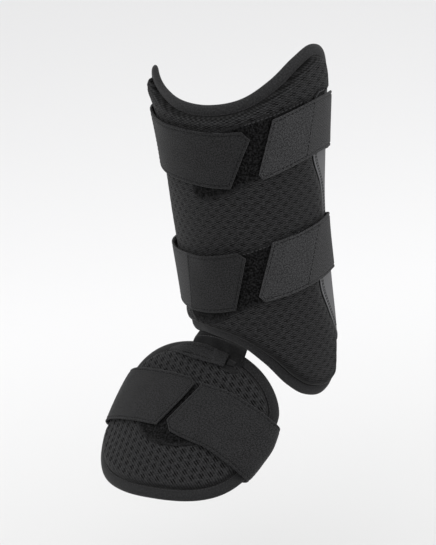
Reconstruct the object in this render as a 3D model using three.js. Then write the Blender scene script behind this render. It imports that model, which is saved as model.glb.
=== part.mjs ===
// A batter's leg guard: a padded shin piece, a padded foot piece that hangs from it on a cloth
// connector, two hook-and-loop straps round the calf and one round the foot.
// Millimetres, +Z up. The shin's front faces -Y. The origin lies on the shin pad's inner face,
// on its front line, near the middle of its height.

import * as THREE from 'three';

const DEG = Math.PI / 180;

// Shin hollow by height: its radius, the sideways shift of its middle and the shift of its front line.
const SHIN_SECTIONS = [
  { z: -160, radius: 50.0, side: 2.8, front: -3.0 },
  { z: -110, radius: 52.9, side: 3.5, front: -1.5 },
  { z: -60, radius: 53.3, side: 2.4, front: 0.0 },
  { z: 0, radius: 54.1, side: 0.8, front: 0.0 },
  { z: 60, radius: 58.9, side: 0.8, front: 0.0 },
  { z: 110, radius: 64.5, side: -1.0, front: 0.0 },
  { z: 150, radius: 68.1, side: -4.6, front: 0.0 },
];

// Millimetres along the shin's curve for each radian round it, for laying out flat edges.
const SHIN_ARC = 60;

// Outer edge of the shin pad, counterclockwise from its lower left corner: angle and height.
const SHIN_EDGE = [
  { angle: -72, z: -84, corner: true },
  { angle: -52, z: -95.5 },
  { angle: -25, z: -96 },
  { angle: 0, z: -100.5 },
  { angle: 18, z: -113 },
  { angle: 36, z: -133 },
  { angle: 52, z: -145 },
  { angle: 72, z: -150 },
  { angle: 89, z: -141, corner: true },
  { angle: 92.8, z: -115 },
  { angle: 92, z: 0 },
  { angle: 93.5, z: 108 },
  { angle: 88, z: 130, corner: true },
  { angle: 75, z: 136 },
  { angle: 60, z: 130.5 },
  { angle: 42, z: 117.5 },
  { angle: 22, z: 106 },
  { angle: 0, z: 102 },
  { angle: -22, z: 105.5 },
  { angle: -42, z: 115.5 },
  { angle: -59, z: 122.5 },
  { angle: -73, z: 113, corner: true },
  { angle: -80, z: 85 },
  { angle: -81, z: 10 },
  { angle: -80, z: -60 },
];

// Seam between the mesh panel and the woven side panel on the shin's right edge.
const SIDE_SEAM = [
  { z: -104, angle: 92.6 },
  { z: -84, angle: 83.5 },
  { z: -60, angle: 76.5 },
  { z: -36, angle: 79 },
  { z: -13, angle: 85.5 },
  { z: 5, angle: 86.5 },
  { z: 23, angle: 84.5 },
  { z: 48, angle: 78.5 },
  { z: 75, angle: 80 },
  { z: 92, angle: 84.5 },
  { z: 101, angle: 92.6 },
];

// Layers, as heights above the inner face of the shin pad or the foot pad.
const GAP = 0.45;
const WIDE_GAP = 1.5 * GAP;
const BINDING_WIDTH = 9;
const BINDING_HEIGHT = 5;
const BINDING_WALL = 1.2;
const BINDING_FOLD = 1.6;
const BINDING_ROUND = 0.8;
const BINDING_FLAT = 3;
const SHIN_PAD_HEIGHT = 7;
const SHIN_MESH_HEIGHT = 12;
const FOOT_PAD_HEIGHT = 5;
const FOOT_MESH_HEIGHT = 9.5;
const PATCH_THICKNESS = 1;
const STRAP_THICKNESS = 1.8;
const SIDE_PANEL_THICKNESS = 1.4;
const SIDE_PANEL_OVERHANG = 0.4;
const SIDE_PANEL_ROWS = 20;
const SIDE_PANEL_COLUMNS = 3;

// Rounded shoulders of a pad and of the mesh over it: depths in from the panel's edge, and heights.
const PAD_SHOULDER = { edge: 1.5, crown: 4.5, drop: 1 };
const MESH_SHOULDER = { rise: 1.4, bend: 0.9, bendShare: 0.6, edge: 2.8, crown: 5.6, drop: 1 };

// Segments along and across the two pads.
const SHIN_COLUMNS = 24;
const SHIN_ROWS = 10;
const FOOT_COLUMNS = 14;
const FOOT_ROWS = 8;

// Height of the calf straps' inner face round the leg, from the right tab by the back to the left tab.
const STRAP_HEIGHTS = [
  { turn: 20, height: 14.0 },
  { turn: 74, height: 13.9 },
  { turn: 81, height: 13.2 },
  { turn: 87, height: 11.2 },
  { turn: 93, height: 8.4 },
  { turn: 110, height: 8.4 },
  { turn: 270, height: 8.4 },
  { turn: 278, height: 8.6 },
  { turn: 286, height: 11.2 },
  { turn: 293, height: 13.2 },
  { turn: 302, height: 14.0 },
  { turn: 390, height: 14.0 },
];
const STRAP_REAR_DEPTH = 7;
const STRAP_REAR_SQUARENESS = { across: 0.25, along: 0.8 };
const STRAP_REAR_HALF = [90, 94, 99, 106, 116, 130, 148, 164, 174];
const STRAP_REAR_TURNS = [...STRAP_REAR_HALF, 180, ...STRAP_REAR_HALF.map((turn) => 360 - turn).reverse()];
const TAB_STEP = 7;
const STRAP_SEAM_GAP = 0.35;

// Each calf strap: middle line and width round the leg, then its cut ends and seams.
// A cut end gives the turn at the lower corner, beside each chamfer and at the upper corner.
const CALF_STRAPS = {
  upper: {
    line: [
      { turn: 28, middle: 64.5, width: 44.5 },
      { turn: 60, middle: 74.3, width: 44 },
      { turn: 80, middle: 76.5, width: 44 },
      { turn: 96, middle: 72, width: 44 },
      { turn: 130, middle: 67, width: 44.5 },
      { turn: 164, middle: 61, width: 45 },
      { turn: 180, middle: 53, width: 46 },
      { turn: 196, middle: 49, width: 46 },
      { turn: 230, middle: 53, width: 46 },
      { turn: 256, middle: 59.5, width: 46 },
      { turn: 285, middle: 65.5, width: 46.5 },
      { turn: 320, middle: 65.4, width: 46.5 },
      { turn: 340, middle: 64.3, width: 46.5 },
      { turn: 360, middle: 62.0, width: 46.5 },
      { turn: 386, middle: 61.0, width: 47 },
    ],
    rightEnd: [{ across: 0, turn: 31.9 }, { across: 0.12, turn: 29 }, { across: 1, turn: 39.1 }],
    rightSeam: [{ across: 0, turn: 59.2 }, { across: 1, turn: 63 }],
    leftSeam: [{ across: 0, turn: 302 }, { across: 1, turn: 304 }],
    leftEnd: [{ across: 0, turn: 371.2 }, { across: 0.85, turn: 385.4 }, { across: 1, turn: 381.1 }],
  },
  lower: {
    line: [
      { turn: 21, middle: -34.6, width: 47 },
      { turn: 35, middle: -32.2, width: 47 },
      { turn: 52, middle: -29.3, width: 46.5 },
      { turn: 70, middle: -25.8, width: 46.5 },
      { turn: 82, middle: -23.5, width: 46.5 },
      { turn: 96, middle: -28, width: 46.5 },
      { turn: 130, middle: -32, width: 47 },
      { turn: 164, middle: -35, width: 47.5 },
      { turn: 180, middle: -39, width: 48 },
      { turn: 196, middle: -43, width: 48 },
      { turn: 230, middle: -46, width: 48.5 },
      { turn: 265, middle: -47.5, width: 49 },
      { turn: 325, middle: -45.4, width: 50 },
      { turn: 348, middle: -43, width: 49.5 },
      { turn: 364, middle: -39.6, width: 48.5 },
      { turn: 378, middle: -37.3, width: 49 },
    ],
    rightEnd: [{ across: 0, turn: 25.6 }, { across: 0.12, turn: 21.5 }, { across: 1, turn: 35 }],
    rightSeam: [{ across: 0, turn: 55.6 }, { across: 1, turn: 67 }],
    leftSeam: [{ across: 0, turn: 329.3 }, { across: 1, turn: 335 }],
    leftEnd: [{ across: 0, turn: 364.8 }, { across: 0.88, turn: 377.1 }, { across: 1, turn: 371.7 }],
  },
};
const TAB_ACROSS = [0, 0.12, 0.5, 0.86, 1];
const ELASTIC_ACROSS = [0, 0.5, 1];

// Loop patches under the strap ends: middle line by angle, with their width.
const PATCH_STEP = 8;
const LOOP_PATCHES = {
  upper: { width: 52, line: [{ angle: -28, middle: 50.5 }, { angle: 61.5, middle: 72.8 }] },
  lower: { width: 50, line: [{ angle: -30, middle: -54 }, { angle: 61.5, middle: -27 }] },
};
const ANCHOR_PATCH = { from: 68, to: 78, chamfer: 4, low: 57, high: 100.4, thickness: 0.6 };

// Foot pad: its place, its turn inward, its slope down to the toe, its lean and the radius of its arch.
const FOOT = {
  middle: new THREE.Vector3(-42.4, -40.3, -151.1),
  yaw: 5.5 * DEG,
  slope: 41.6 * DEG,
  lean: -2 * DEG,
  radius: 127,
};
const FOOT_HALF_WIDTH = 81.2;
const FOOT_HALF_LENGTH = 67;
const FOOT_SQUARENESS = 2.3;

// Corners of a rounded outline, as shares of a turn round it.
const FOOT_CORNERS = [0.625, 0.875, 1.125, 1.375];

// Foot loop patch: its middle, half sizes, squareness and segments.
const FOOT_PATCH = {
  middle: new THREE.Vector2(3, -6),
  half: new THREE.Vector2(28, 31),
  squareness: 3,
  columns: 6,
  rows: 6,
};

// Foot strap: middle line and width round the foot, from the right end by the sole to the left end.
const FOOT_STRAP_PERIOD = 340;
const FOOT_STRAP_HEIGHT = 11.4;
const FOOT_STRAP_LINE = [
  { turn: 0, middle: -9, width: 48 },
  { turn: 21, middle: -4, width: 49 },
  { turn: 40, middle: -1.3, width: 50 },
  { turn: 60, middle: 5, width: 50 },
  { turn: 82, middle: 12.5, width: 50 },
  { turn: 100, middle: 12.5, width: 49 },
  { turn: 170, middle: -4, width: 48 },
  { turn: 240, middle: -19, width: 46 },
  { turn: 260, middle: -20, width: 46 },
  { turn: 293, middle: -16.8, width: 46 },
  { turn: 327, middle: -13.2, width: 47 },
  { turn: 350, middle: -11, width: 47 },
];
const FOOT_STRAP_ACROSS = [0, 0.1, 0.5, 0.84, 1];
const FOOT_STRAP_RIGHT_END = [
  { across: 0, turn: 21 },
  { across: 0.84, turn: 1.4 },
  { across: 1, turn: 13.5 },
];
const FOOT_STRAP_LEFT_END = [
  { across: 0, turn: 349.1 },
  { across: 0.1, turn: 354.9 },
  { across: 1, turn: 335.3 },
];
const FOOT_STRAP_TURNS = [60, 66, 72, 77, 81, 84, 86, 88, 93, 100, 123, 146, 170];
const FOOT_STRAP_STEP = 10;
const FOOT_STRAP_FLAT = 60;

// Foot strap's inner face where it folds under: distance past the pad's edge, and height.
const FOOT_STRAP_FOLD = [
  { turn: 60, past: -22, height: 11.4 },
  { turn: 66, past: -15.5, height: 11.2 },
  { turn: 72, past: -9.5, height: 10.2 },
  { turn: 78, past: -3.4, height: 8.0 },
  { turn: 82, past: 1.2, height: 3.8 },
  { turn: 85, past: 2.0, height: -1.2 },
  { turn: 88, past: -1.4, height: -3.6 },
  { turn: 94, past: -8, height: -5 },
];
const FOOT_STRAP_SAG = 3;

// Connector: its span on the shin's edge and on the foot's edge, its laps there and where it bends.
const CONNECTOR = {
  shinFrom: -52,
  shinTo: 4,
  shinLap: 11,
  shinBend: 0.5,
  footFrom: -3,
  footTo: 41,
  footLap: 8.5,
  footBend: 1.5,
  thickness: 1.5,
};
const CONNECTOR_ACROSS = 8;
const CONNECTOR_ALONG = 10;

// Flap along the foot's top edge: its two edges across the foot, as distances from the foot's middle.
const FLAP_ROWS = [
  { across: -26, near: -62, far: -56.5 },
  { across: -10, near: -62, far: -53.5 },
  { across: 6, near: -61, far: -50.5 },
  { across: 20, near: -59, far: -47.5 },
  { across: 31, near: -56.5, far: -45.5 },
];
const FLAP_THICKNESS = 1.4;
const PULL_TAB = { from: 31.8, to: 38, near: -56, far: -45.5, height: 10.6, thickness: 4.6, rounding: 1.6 };

// Cloth colours and finish.
const CLOTH = {
  pad: { color: 0x242425, roughness: 0.9 },
  binding: { color: 0x28282a, roughness: 0.8 },
  mesh: { color: 0x29292a, roughness: 0.95 },
  side: { color: 0x4d4d50, roughness: 0.8 },
  loop: { color: 0x1b1b1c, roughness: 1 },
  leftTab: { color: 0x323233, roughness: 0.85 },
  rightTab: { color: 0x3d3d3e, roughness: 0.85 },
  elastic: { color: 0x414143, roughness: 0.8 },
  footStrap: { color: 0x303032, roughness: 0.85 },
  connector: { color: 0x232324, roughness: 0.7 },
};

// Smooth value of one column of a table at a key, between rows sorted by that key.
function readTable(rows, key, at, column) {
  const last = rows.length - 1;
  if (at <= rows[0][key]) return rows[0][column];
  if (at >= rows[last][key]) return rows[last][column];
  const i = rows.findIndex((row) => row[key] > at) - 1;
  const slope = (j) => {
    const before = rows[Math.max(j - 1, 0)];
    const after = rows[Math.min(j + 1, last)];
    return (after[column] - before[column]) / (after[key] - before[key]);
  };
  const span = rows[i + 1][key] - rows[i][key];
  const t = (at - rows[i][key]) / span;
  const start = (1 + 2 * t) * (1 - t) ** 2;
  const leave = t * (1 - t) ** 2;
  const arrive = t * t * (t - 1);
  return start * rows[i][column] + (1 - start) * rows[i + 1][column]
    + span * (leave * slope(i) + arrive * slope(i + 1));
}

// Straight-line value between the rows of a cut end.
function readCut(rows, across) {
  const i = Math.max(rows.findIndex((row) => row.across >= across), 1);
  const [a, b] = [rows[i - 1], rows[i]];
  return a.turn + ((across - a.across) / (b.across - a.across)) * (b.turn - a.turn);
}

// Straight-line value between the points of a flat run, in one axis for a place on the other.
function readRun(run, key, at, column) {
  const found = run.findIndex((point) => point[key] >= at);
  const k = found < 0 ? run.length - 1 : Math.max(found, 1);
  const share = (at - run[k - 1][key]) / (run[k][key] - run[k - 1][key]);
  return run[k - 1][column] + share * (run[k][column] - run[k - 1][column]);
}

// Points and triangles of one closed body, turned so that its faces point outwards.
class Body {
  constructor() {
    this.points = [];
    this.faces = [];
  }

  add(point) {
    this.points.push(point);
    return this.points.length - 1;
  }

  quad(a, b, c, d) {
    this.faces.push([a, b, c], [a, c, d]);
  }

  // Join two closed loops of equal length, point by point.
  band(from, to) {
    from.forEach((start, i) => {
      const j = (i + 1) % from.length;
      this.quad(start, from[j], to[j], to[i]);
    });
  }

  // Fill a grid of point numbers.
  sheet(grid, reversed) {
    for (let i = 0; i + 1 < grid.length; i += 1) {
      for (let j = 0; j + 1 < grid[i].length; j += 1) {
        const corners = [grid[i][j], grid[i + 1][j], grid[i + 1][j + 1], grid[i][j + 1]];
        this.quad(...(reversed ? corners.reverse() : corners));
      }
    }
  }

  mesh(name, cloth) {
    const volume = this.faces.reduce((sum, [a, b, c]) => {
      const [p, q, r] = [this.points[a], this.points[b], this.points[c]];
      return sum + p.dot(new THREE.Vector3().crossVectors(q, r));
    }, 0);
    const faces = volume < 0 ? this.faces.map(([a, b, c]) => [a, c, b]) : this.faces;
    const geometry = new THREE.BufferGeometry();
    const positions = this.points.flatMap((point) => point.toArray());
    geometry.setAttribute('position', new THREE.Float32BufferAttribute(positions, 3));
    geometry.setIndex(faces.flat());
    geometry.computeVertexNormals();
    const mesh = new THREE.Mesh(geometry, new THREE.MeshStandardMaterial({ ...cloth, metalness: 0 }));
    mesh.name = name;
    return mesh;
  }
}

// A thin sheet with an under face and an over face, given as grids of points of equal size.
function sheetBody(under, over) {
  const body = new Body();
  const number = (grid) => grid.map((line) => line.map((point) => body.add(point)));
  const rim = (grid) => [
    ...grid.map((line) => line[0]),
    ...grid.at(-1).slice(1, -1),
    ...grid.map((line) => line.at(-1)).reverse(),
    ...grid[0].slice(1, -1).reverse(),
  ];
  const [low, high] = [number(under), number(over)];
  body.sheet(low, true);
  body.sheet(high, false);
  body.band(rim(low), rim(high));
  return body;
}

// Evenly spaced points along part of a flat closed curve.
function evenPoints(curve, from, to, count) {
  const samples = 240;
  const points = Array.from({ length: samples + 1 }, (_, i) => {
    const point = curve(from + ((to - from) * i) / samples);
    return new THREE.Vector2(point.x, point.y);
  });
  const lengths = [0];
  for (let i = 1; i <= samples; i += 1) lengths.push(lengths[i - 1] + points[i].distanceTo(points[i - 1]));
  return Array.from({ length: count }, (_, i) => {
    const want = (lengths[samples] * i) / count;
    const k = Math.max(lengths.findIndex((length) => length >= want), 1);
    return points[k - 1].clone().lerp(points[k], (want - lengths[k - 1]) / (lengths[k] - lengths[k - 1]));
  });
}

// Closed edge of a pad as four runs between its corners: below, right, above and left.
function edgeLoop(curve, corners, columns, rows) {
  return corners.flatMap((from, side) => {
    const to = side === 3 ? corners[0] + 1 : corners[side + 1];
    return evenPoints(curve, from, to, side % 2 ? rows : columns);
  });
}

// The same loop moved inwards by a distance.
function inset(loop, distance) {
  const count = loop.length;
  return loop.map((point, i) => {
    const along = loop[(i + 1) % count].clone().sub(loop[(i + count - 1) % count]).normalize();
    return new THREE.Vector2(point.x - along.y * distance, point.y + along.x * distance);
  });
}

// Grid of flat points that fills a loop, blended from its four runs.
function fillLoop(loop, columns, rows) {
  const at = (i) => loop[i % loop.length];
  const below = (i) => at(i);
  const right = (j) => at(columns + j);
  const above = (i) => at(2 * columns + rows - i);
  const left = (j) => at(2 * columns + 2 * rows - j);
  return Array.from({ length: columns + 1 }, (_, i) => Array.from({ length: rows + 1 }, (_, j) => {
    const [u, v] = [i / columns, j / rows];
    const mix = (axis) => (1 - v) * below(i)[axis] + v * above(i)[axis]
      + (1 - u) * left(j)[axis] + u * right(j)[axis]
      - (1 - u) * (1 - v) * below(0)[axis] - u * (1 - v) * below(columns)[axis]
      - (1 - u) * v * above(0)[axis] - u * v * above(columns)[axis];
    return new THREE.Vector2(mix('x'), mix('y'));
  }));
}

// A pad between two faces: rings run from the inner face round the edge to the outer face.
function paddedBody(surface, rings, columns, rows) {
  const body = new Body();
  const place = (point, ring) => body.add(surface(point.x, point.y, ring.height));
  const loops = rings.map((ring) => ring.loop.map((point) => place(point, ring)));
  loops.slice(1).forEach((loop, i) => body.band(loops[i], loop));
  const count = loops[0].length;
  const face = (ring, loop) => {
    const number = (point, i, j) => {
      if (j === 0) return loop[i];
      if (i === columns) return loop[columns + j];
      if (j === rows) return loop[2 * columns + rows - i];
      if (i === 0) return loop[(2 * columns + 2 * rows - j) % count];
      return place(point, ring);
    };
    const grid = fillLoop(ring.loop, columns, rows);
    return grid.map((line, i) => line.map((point, j) => number(point, i, j)));
  };
  body.sheet(face(rings[0], loops[0]), true);
  body.sheet(face(rings.at(-1), loops.at(-1)), false);
  return body;
}

// Edging folded round a pad's edge, as a section of depths in from the edge and heights.
const BINDING_SECTION = [
  { depth: BINDING_WIDTH, height: 0 },
  { depth: BINDING_FLAT, height: 0 },
  { depth: BINDING_ROUND, height: BINDING_ROUND },
  { depth: 0, height: BINDING_HEIGHT / 2 },
  { depth: BINDING_ROUND, height: BINDING_HEIGHT - BINDING_ROUND },
  { depth: BINDING_FLAT, height: BINDING_HEIGHT },
  { depth: BINDING_WIDTH, height: BINDING_HEIGHT },
  { depth: BINDING_WIDTH, height: BINDING_HEIGHT - BINDING_WALL },
  { depth: BINDING_FOLD, height: BINDING_HEIGHT - BINDING_WALL },
  { depth: BINDING_FOLD, height: BINDING_WALL },
  { depth: BINDING_WIDTH, height: BINDING_WALL },
];

function bindingBody(surface, edge) {
  const body = new Body();
  const loops = BINDING_SECTION.map(({ depth, height }) => (
    inset(edge, depth).map((point) => body.add(surface(point.x, point.y, height)))));
  loops.forEach((loop, i) => body.band(loop, loops[(i + 1) % loops.length]));
  return body;
}

// Rings of a pad whose thin edge sits in the binding and whose full part fills the panel's edge.
function padRings(edge, panelEdge, height) {
  const tongue = {
    depth: BINDING_FOLD + GAP,
    low: BINDING_WALL + GAP,
    high: BINDING_HEIGHT - BINDING_WALL - GAP,
  };
  return [
    { loop: inset(edge, BINDING_WIDTH + 2 * GAP), height: 0 },
    { loop: inset(edge, BINDING_WIDTH + GAP), height: tongue.low },
    { loop: inset(edge, tongue.depth), height: tongue.low },
    { loop: inset(edge, tongue.depth), height: tongue.high },
    { loop: inset(panelEdge, -GAP / 2), height: tongue.high },
    { loop: inset(panelEdge, PAD_SHOULDER.edge), height: height - PAD_SHOULDER.drop },
    { loop: inset(panelEdge, PAD_SHOULDER.crown), height },
  ];
}

// Rings of a mesh panel: it rests on the pad and has a rounded shoulder.
function panelRings(panelEdge, padHeight, height) {
  const lip = BINDING_HEIGHT - BINDING_WALL;
  const { rise, bend, bendShare, edge, crown, drop } = MESH_SHOULDER;
  return [
    { loop: inset(panelEdge, PAD_SHOULDER.crown), height: padHeight + GAP },
    { loop: inset(panelEdge, PAD_SHOULDER.edge), height: padHeight - PAD_SHOULDER.drop + WIDE_GAP },
    { loop: panelEdge, height: lip + GAP },
    { loop: panelEdge, height: lip + rise },
    { loop: inset(panelEdge, bend), height: lip + bendShare * (height - lip) },
    { loop: inset(panelEdge, edge), height: height - drop },
    { loop: inset(panelEdge, crown), height },
  ];
}

// Shin surface: distance round from the front, height, and height above the inner face.
function shinSection(z) {
  const read = (column) => readTable(SHIN_SECTIONS, 'z', z, column);
  return { radius: read('radius'), side: read('side'), front: read('front') };
}

function shinPoint(angle, z, height) {
  const { radius, side, front } = shinSection(z);
  const reach = radius + height;
  const turn = angle * DEG;
  return new THREE.Vector3(side + reach * Math.sin(turn), front + radius - reach * Math.cos(turn), z);
}

const shinSurface = (along, z, height) => shinPoint(along / SHIN_ARC / DEG, z, height);

const shinCurve = new THREE.CatmullRomCurve3(
  SHIN_EDGE.map(({ angle, z }) => new THREE.Vector3(angle * DEG * SHIN_ARC, z, 0)), true, 'centripetal');
const shinCorners = SHIN_EDGE.flatMap((row, i) => (row.corner ? [i / SHIN_EDGE.length] : []));
const shinEdge = edgeLoop((u) => shinCurve.getPoint(u % 1), shinCorners, SHIN_COLUMNS, SHIN_ROWS);

const seamAngle = (z) => readTable(SIDE_SEAM, 'z', z, 'angle');
const shinPanelEdge = inset(shinEdge, BINDING_WIDTH + 2 * GAP).map((point) => {
  const seam = seamAngle(point.y) * DEG * SHIN_ARC - GAP / 2;
  return new THREE.Vector2(Math.min(point.x, seam), point.y);
});

function shinPieces() {
  const pad = padRings(shinEdge, shinPanelEdge, SHIN_PAD_HEIGHT);
  const panel = panelRings(shinPanelEdge, SHIN_PAD_HEIGHT, SHIN_MESH_HEIGHT);
  return [
    paddedBody(shinSurface, pad, SHIN_COLUMNS, SHIN_ROWS).mesh('shin_pad', CLOTH.pad),
    bindingBody(shinSurface, shinEdge).mesh('shin_binding', CLOTH.binding),
    paddedBody(shinSurface, panel, SHIN_COLUMNS, SHIN_ROWS).mesh('shin_mesh_panel', CLOTH.mesh),
  ];
}

// Woven panel laid over the right edge, from the seam to just past the binding.
function sidePanel() {
  const floor = BINDING_HEIGHT + GAP;
  const [low, high] = [SIDE_SEAM[0].z, SIDE_SEAM.at(-1).z];
  const outer = SIDE_SEAM[0].angle + SIDE_PANEL_OVERHANG;
  const meshRun = shinPanelEdge.slice(SHIN_COLUMNS, SHIN_COLUMNS + SHIN_ROWS + 1);
  const grid = (height) => Array.from({ length: SIDE_PANEL_ROWS + 1 }, (_, i) => {
    const z = low + ((high - low) * i) / SIDE_PANEL_ROWS;
    const meshAngle = readRun(meshRun, 'y', z, 'x') / SHIN_ARC / DEG;
    const inner = Math.max(seamAngle(z), meshAngle + 2 * GAP);
    return Array.from({ length: SIDE_PANEL_COLUMNS + 1 }, (_, j) => (
      shinPoint(inner + ((outer - inner) * j) / SIDE_PANEL_COLUMNS, z, height)));
  });
  return sheetBody(grid(floor), grid(floor + SIDE_PANEL_THICKNESS)).mesh('side_panel', CLOTH.side);
}

// Fuzzy fields on the mesh panel that the strap ends stick to.
function loopPatch(name, { width, line }) {
  const [from, to] = line.map(({ angle }) => angle);
  const steps = Math.round((to - from) / PATCH_STEP);
  const across = [-0.5, 0, 0.5];
  const grid = (height) => Array.from({ length: steps + 1 }, (_, i) => {
    const angle = from + ((to - from) * i) / steps;
    const middle = readTable(line, 'angle', angle, 'middle');
    return across.map((side) => shinPoint(angle, middle + side * width, height));
  });
  const floor = SHIN_MESH_HEIGHT + GAP;
  return sheetBody(grid(floor), grid(floor + PATCH_THICKNESS)).mesh(name, CLOTH.loop);
}

// Small patch beside the upper strap, with its upper left corner cut off.
function anchorPatch() {
  const { from, to, chamfer, low, high, thickness } = ANCHOR_PATCH;
  const angles = [from, from + chamfer, (from + chamfer + to) / 2, to];
  const grid = (lift) => angles.map((angle, i) => {
    const top = i === 0 ? high - chamfer : high;
    const strap = readTable(STRAP_HEIGHTS, 'turn', angle, 'height');
    const height = strap - thickness - WIDE_GAP + lift;
    return [low, (low + top) / 2, top].map((z) => shinPoint(angle, z, height));
  });
  return sheetBody(grid(0), grid(thickness)).mesh('upper_anchor_patch', CLOTH.loop);
}

// Point on a calf strap: round the shin in front, straight across behind.
function loopPoint(turn, z, height) {
  const facing = Math.cos(turn * DEG);
  if (facing >= 0) return shinPoint(turn, z, height);
  const { radius, side, front } = shinSection(z);
  const sine = Math.sin(turn * DEG);
  const out = Math.sign(sine) * Math.abs(sine) ** STRAP_REAR_SQUARENESS.across;
  const behind = Math.abs(facing) ** STRAP_REAR_SQUARENESS.along;
  const x = side + (radius + height) * out;
  const y = front + radius + (STRAP_REAR_DEPTH + height) * behind;
  return new THREE.Vector3(x, y, z);
}

// Stations from one cut line up to the next, leaning from the first line's slant to the second's.
function stationsBetween(start, end, step) {
  const longest = Math.max(...TAB_ACROSS.map((w) => readCut(end, w) - readCut(start, w)));
  const count = Math.max(Math.ceil(longest / step), 1);
  return Array.from({ length: count }, (_, i) => (w) => {
    const from = readCut(start, w);
    return from + ((readCut(end, w) - from) * i) / count;
  });
}

const squareCut = (turn) => [{ across: 0, turn }, { across: 1, turn }];
const shifted = (cut, by) => cut.map((row) => ({ ...row, turn: row.turn + by }));

// One stretch of a calf strap through its stations.
function strapPiece(line, stations, across) {
  const grid = (lift) => stations.map((station) => across.map((w) => {
    const turn = station(w);
    const middle = readTable(line, 'turn', turn, 'middle');
    const width = readTable(line, 'turn', turn, 'width');
    const height = readTable(STRAP_HEIGHTS, 'turn', turn, 'height');
    return loopPoint(turn, middle + (w - 0.5) * width, height + lift);
  }));
  return sheetBody(grid(0), grid(STRAP_THICKNESS));
}

function calfStrap(name, { line, rightEnd, rightSeam, leftSeam, leftEnd }) {
  const [first, last] = [STRAP_REAR_TURNS[0], STRAP_REAR_TURNS.at(-1)];
  const [start, end] = [shifted(rightSeam, STRAP_SEAM_GAP), shifted(leftSeam, -STRAP_SEAM_GAP)];
  const stop = (cut) => (w) => readCut(cut, w);
  const rightTab = [...stationsBetween(rightEnd, rightSeam, TAB_STEP), stop(rightSeam)];
  const leftTab = [...stationsBetween(leftSeam, leftEnd, TAB_STEP), stop(leftEnd)];
  const elastic = [
    ...stationsBetween(start, squareCut(first), TAB_STEP),
    ...STRAP_REAR_TURNS.slice(0, -1).map((turn) => () => turn),
    ...stationsBetween(squareCut(last), end, TAB_STEP),
    stop(end),
  ];
  return [
    strapPiece(line, rightTab, TAB_ACROSS).mesh(`${name}_right_tab`, CLOTH.rightTab),
    strapPiece(line, elastic, ELASTIC_ACROSS).mesh(`${name}_elastic`, CLOTH.elastic),
    strapPiece(line, leftTab, TAB_ACROSS).mesh(`${name}_left_tab`, CLOTH.leftTab),
  ];
}

// Foot directions: across to the right, along to the toe, and up out of the pad.
const footForward = new THREE.Vector3(-Math.sin(FOOT.yaw), -Math.cos(FOOT.yaw), 0);
const footLevel = new THREE.Vector3(Math.cos(FOOT.yaw), -Math.sin(FOOT.yaw), 0);
const up = new THREE.Vector3(0, 0, 1);
const mixed = (a, p, b, q) => a.clone().multiplyScalar(p).addScaledVector(b, q);
const footToe = mixed(footForward, Math.cos(FOOT.slope), up, -Math.sin(FOOT.slope));
const footUpright = mixed(up, Math.cos(FOOT.slope), footForward, Math.sin(FOOT.slope));
const footAcross = mixed(footLevel, Math.cos(FOOT.lean), footUpright, -Math.sin(FOOT.lean));
const footNormal = mixed(footUpright, Math.cos(FOOT.lean), footLevel, Math.sin(FOOT.lean));

// Point by distance out from the foot's middle line, distance along to the toe, and height.
function footPlace(out, along, height) {
  return FOOT.middle.clone()
    .addScaledVector(footAcross, out)
    .addScaledVector(footToe, along)
    .addScaledVector(footNormal, height);
}

// Point of the arch as distance out and height, for a distance round it and a height above it.
function archPoint(round, height) {
  const reach = FOOT.radius + height;
  const turn = round / FOOT.radius;
  return new THREE.Vector2(reach * Math.sin(turn), reach * Math.cos(turn) - FOOT.radius);
}

// Point on the arched foot pad: distance round the arch, distance along, height above the inner face.
function footSurface(round, along, height) {
  const point = archPoint(round, height);
  return footPlace(point.x, along, point.y);
}

// Rounded outline between an ellipse and a rectangle.
function roundedOutline(halfWidth, halfLength, squareness, u) {
  const bend = (value) => Math.sign(value) * Math.abs(value) ** (2 / squareness);
  const turn = 2 * Math.PI * u;
  return new THREE.Vector2(halfWidth * bend(Math.cos(turn)), halfLength * bend(Math.sin(turn)));
}

const footEdge = edgeLoop(
  (u) => roundedOutline(FOOT_HALF_WIDTH, FOOT_HALF_LENGTH, FOOT_SQUARENESS, u),
  FOOT_CORNERS, FOOT_COLUMNS, FOOT_ROWS);
const footPanelEdge = inset(footEdge, BINDING_WIDTH + 2 * GAP);

function footPieces() {
  const pad = padRings(footEdge, footPanelEdge, FOOT_PAD_HEIGHT);
  const panel = panelRings(footPanelEdge, FOOT_PAD_HEIGHT, FOOT_MESH_HEIGHT);
  return [
    paddedBody(footSurface, pad, FOOT_COLUMNS, FOOT_ROWS).mesh('foot_pad', CLOTH.pad),
    bindingBody(footSurface, footEdge).mesh('foot_binding', CLOTH.binding),
    paddedBody(footSurface, panel, FOOT_COLUMNS, FOOT_ROWS).mesh('foot_mesh_panel', CLOTH.mesh),
  ];
}

// Rounded fuzzy field under the foot strap's ends.
function footPatch() {
  const { middle, half, squareness, columns, rows } = FOOT_PATCH;
  const outline = (u) => roundedOutline(half.x, half.y, squareness, u).add(middle);
  const loop = edgeLoop(outline, FOOT_CORNERS, columns, rows);
  const floor = FOOT_MESH_HEIGHT + GAP;
  const rings = [{ loop, height: floor }, { loop, height: floor + PATCH_THICKNESS }];
  return paddedBody(footSurface, rings, columns, rows).mesh('foot_loop_patch', CLOTH.loop);
}

// Half width of the foot pad, round its arch, at a distance along it.
function footHalfWidth(along) {
  const share = 1 - (Math.abs(along) / FOOT_HALF_LENGTH) ** FOOT_SQUARENESS;
  return FOOT_HALF_WIDTH * share ** (1 / FOOT_SQUARENESS);
}

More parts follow.
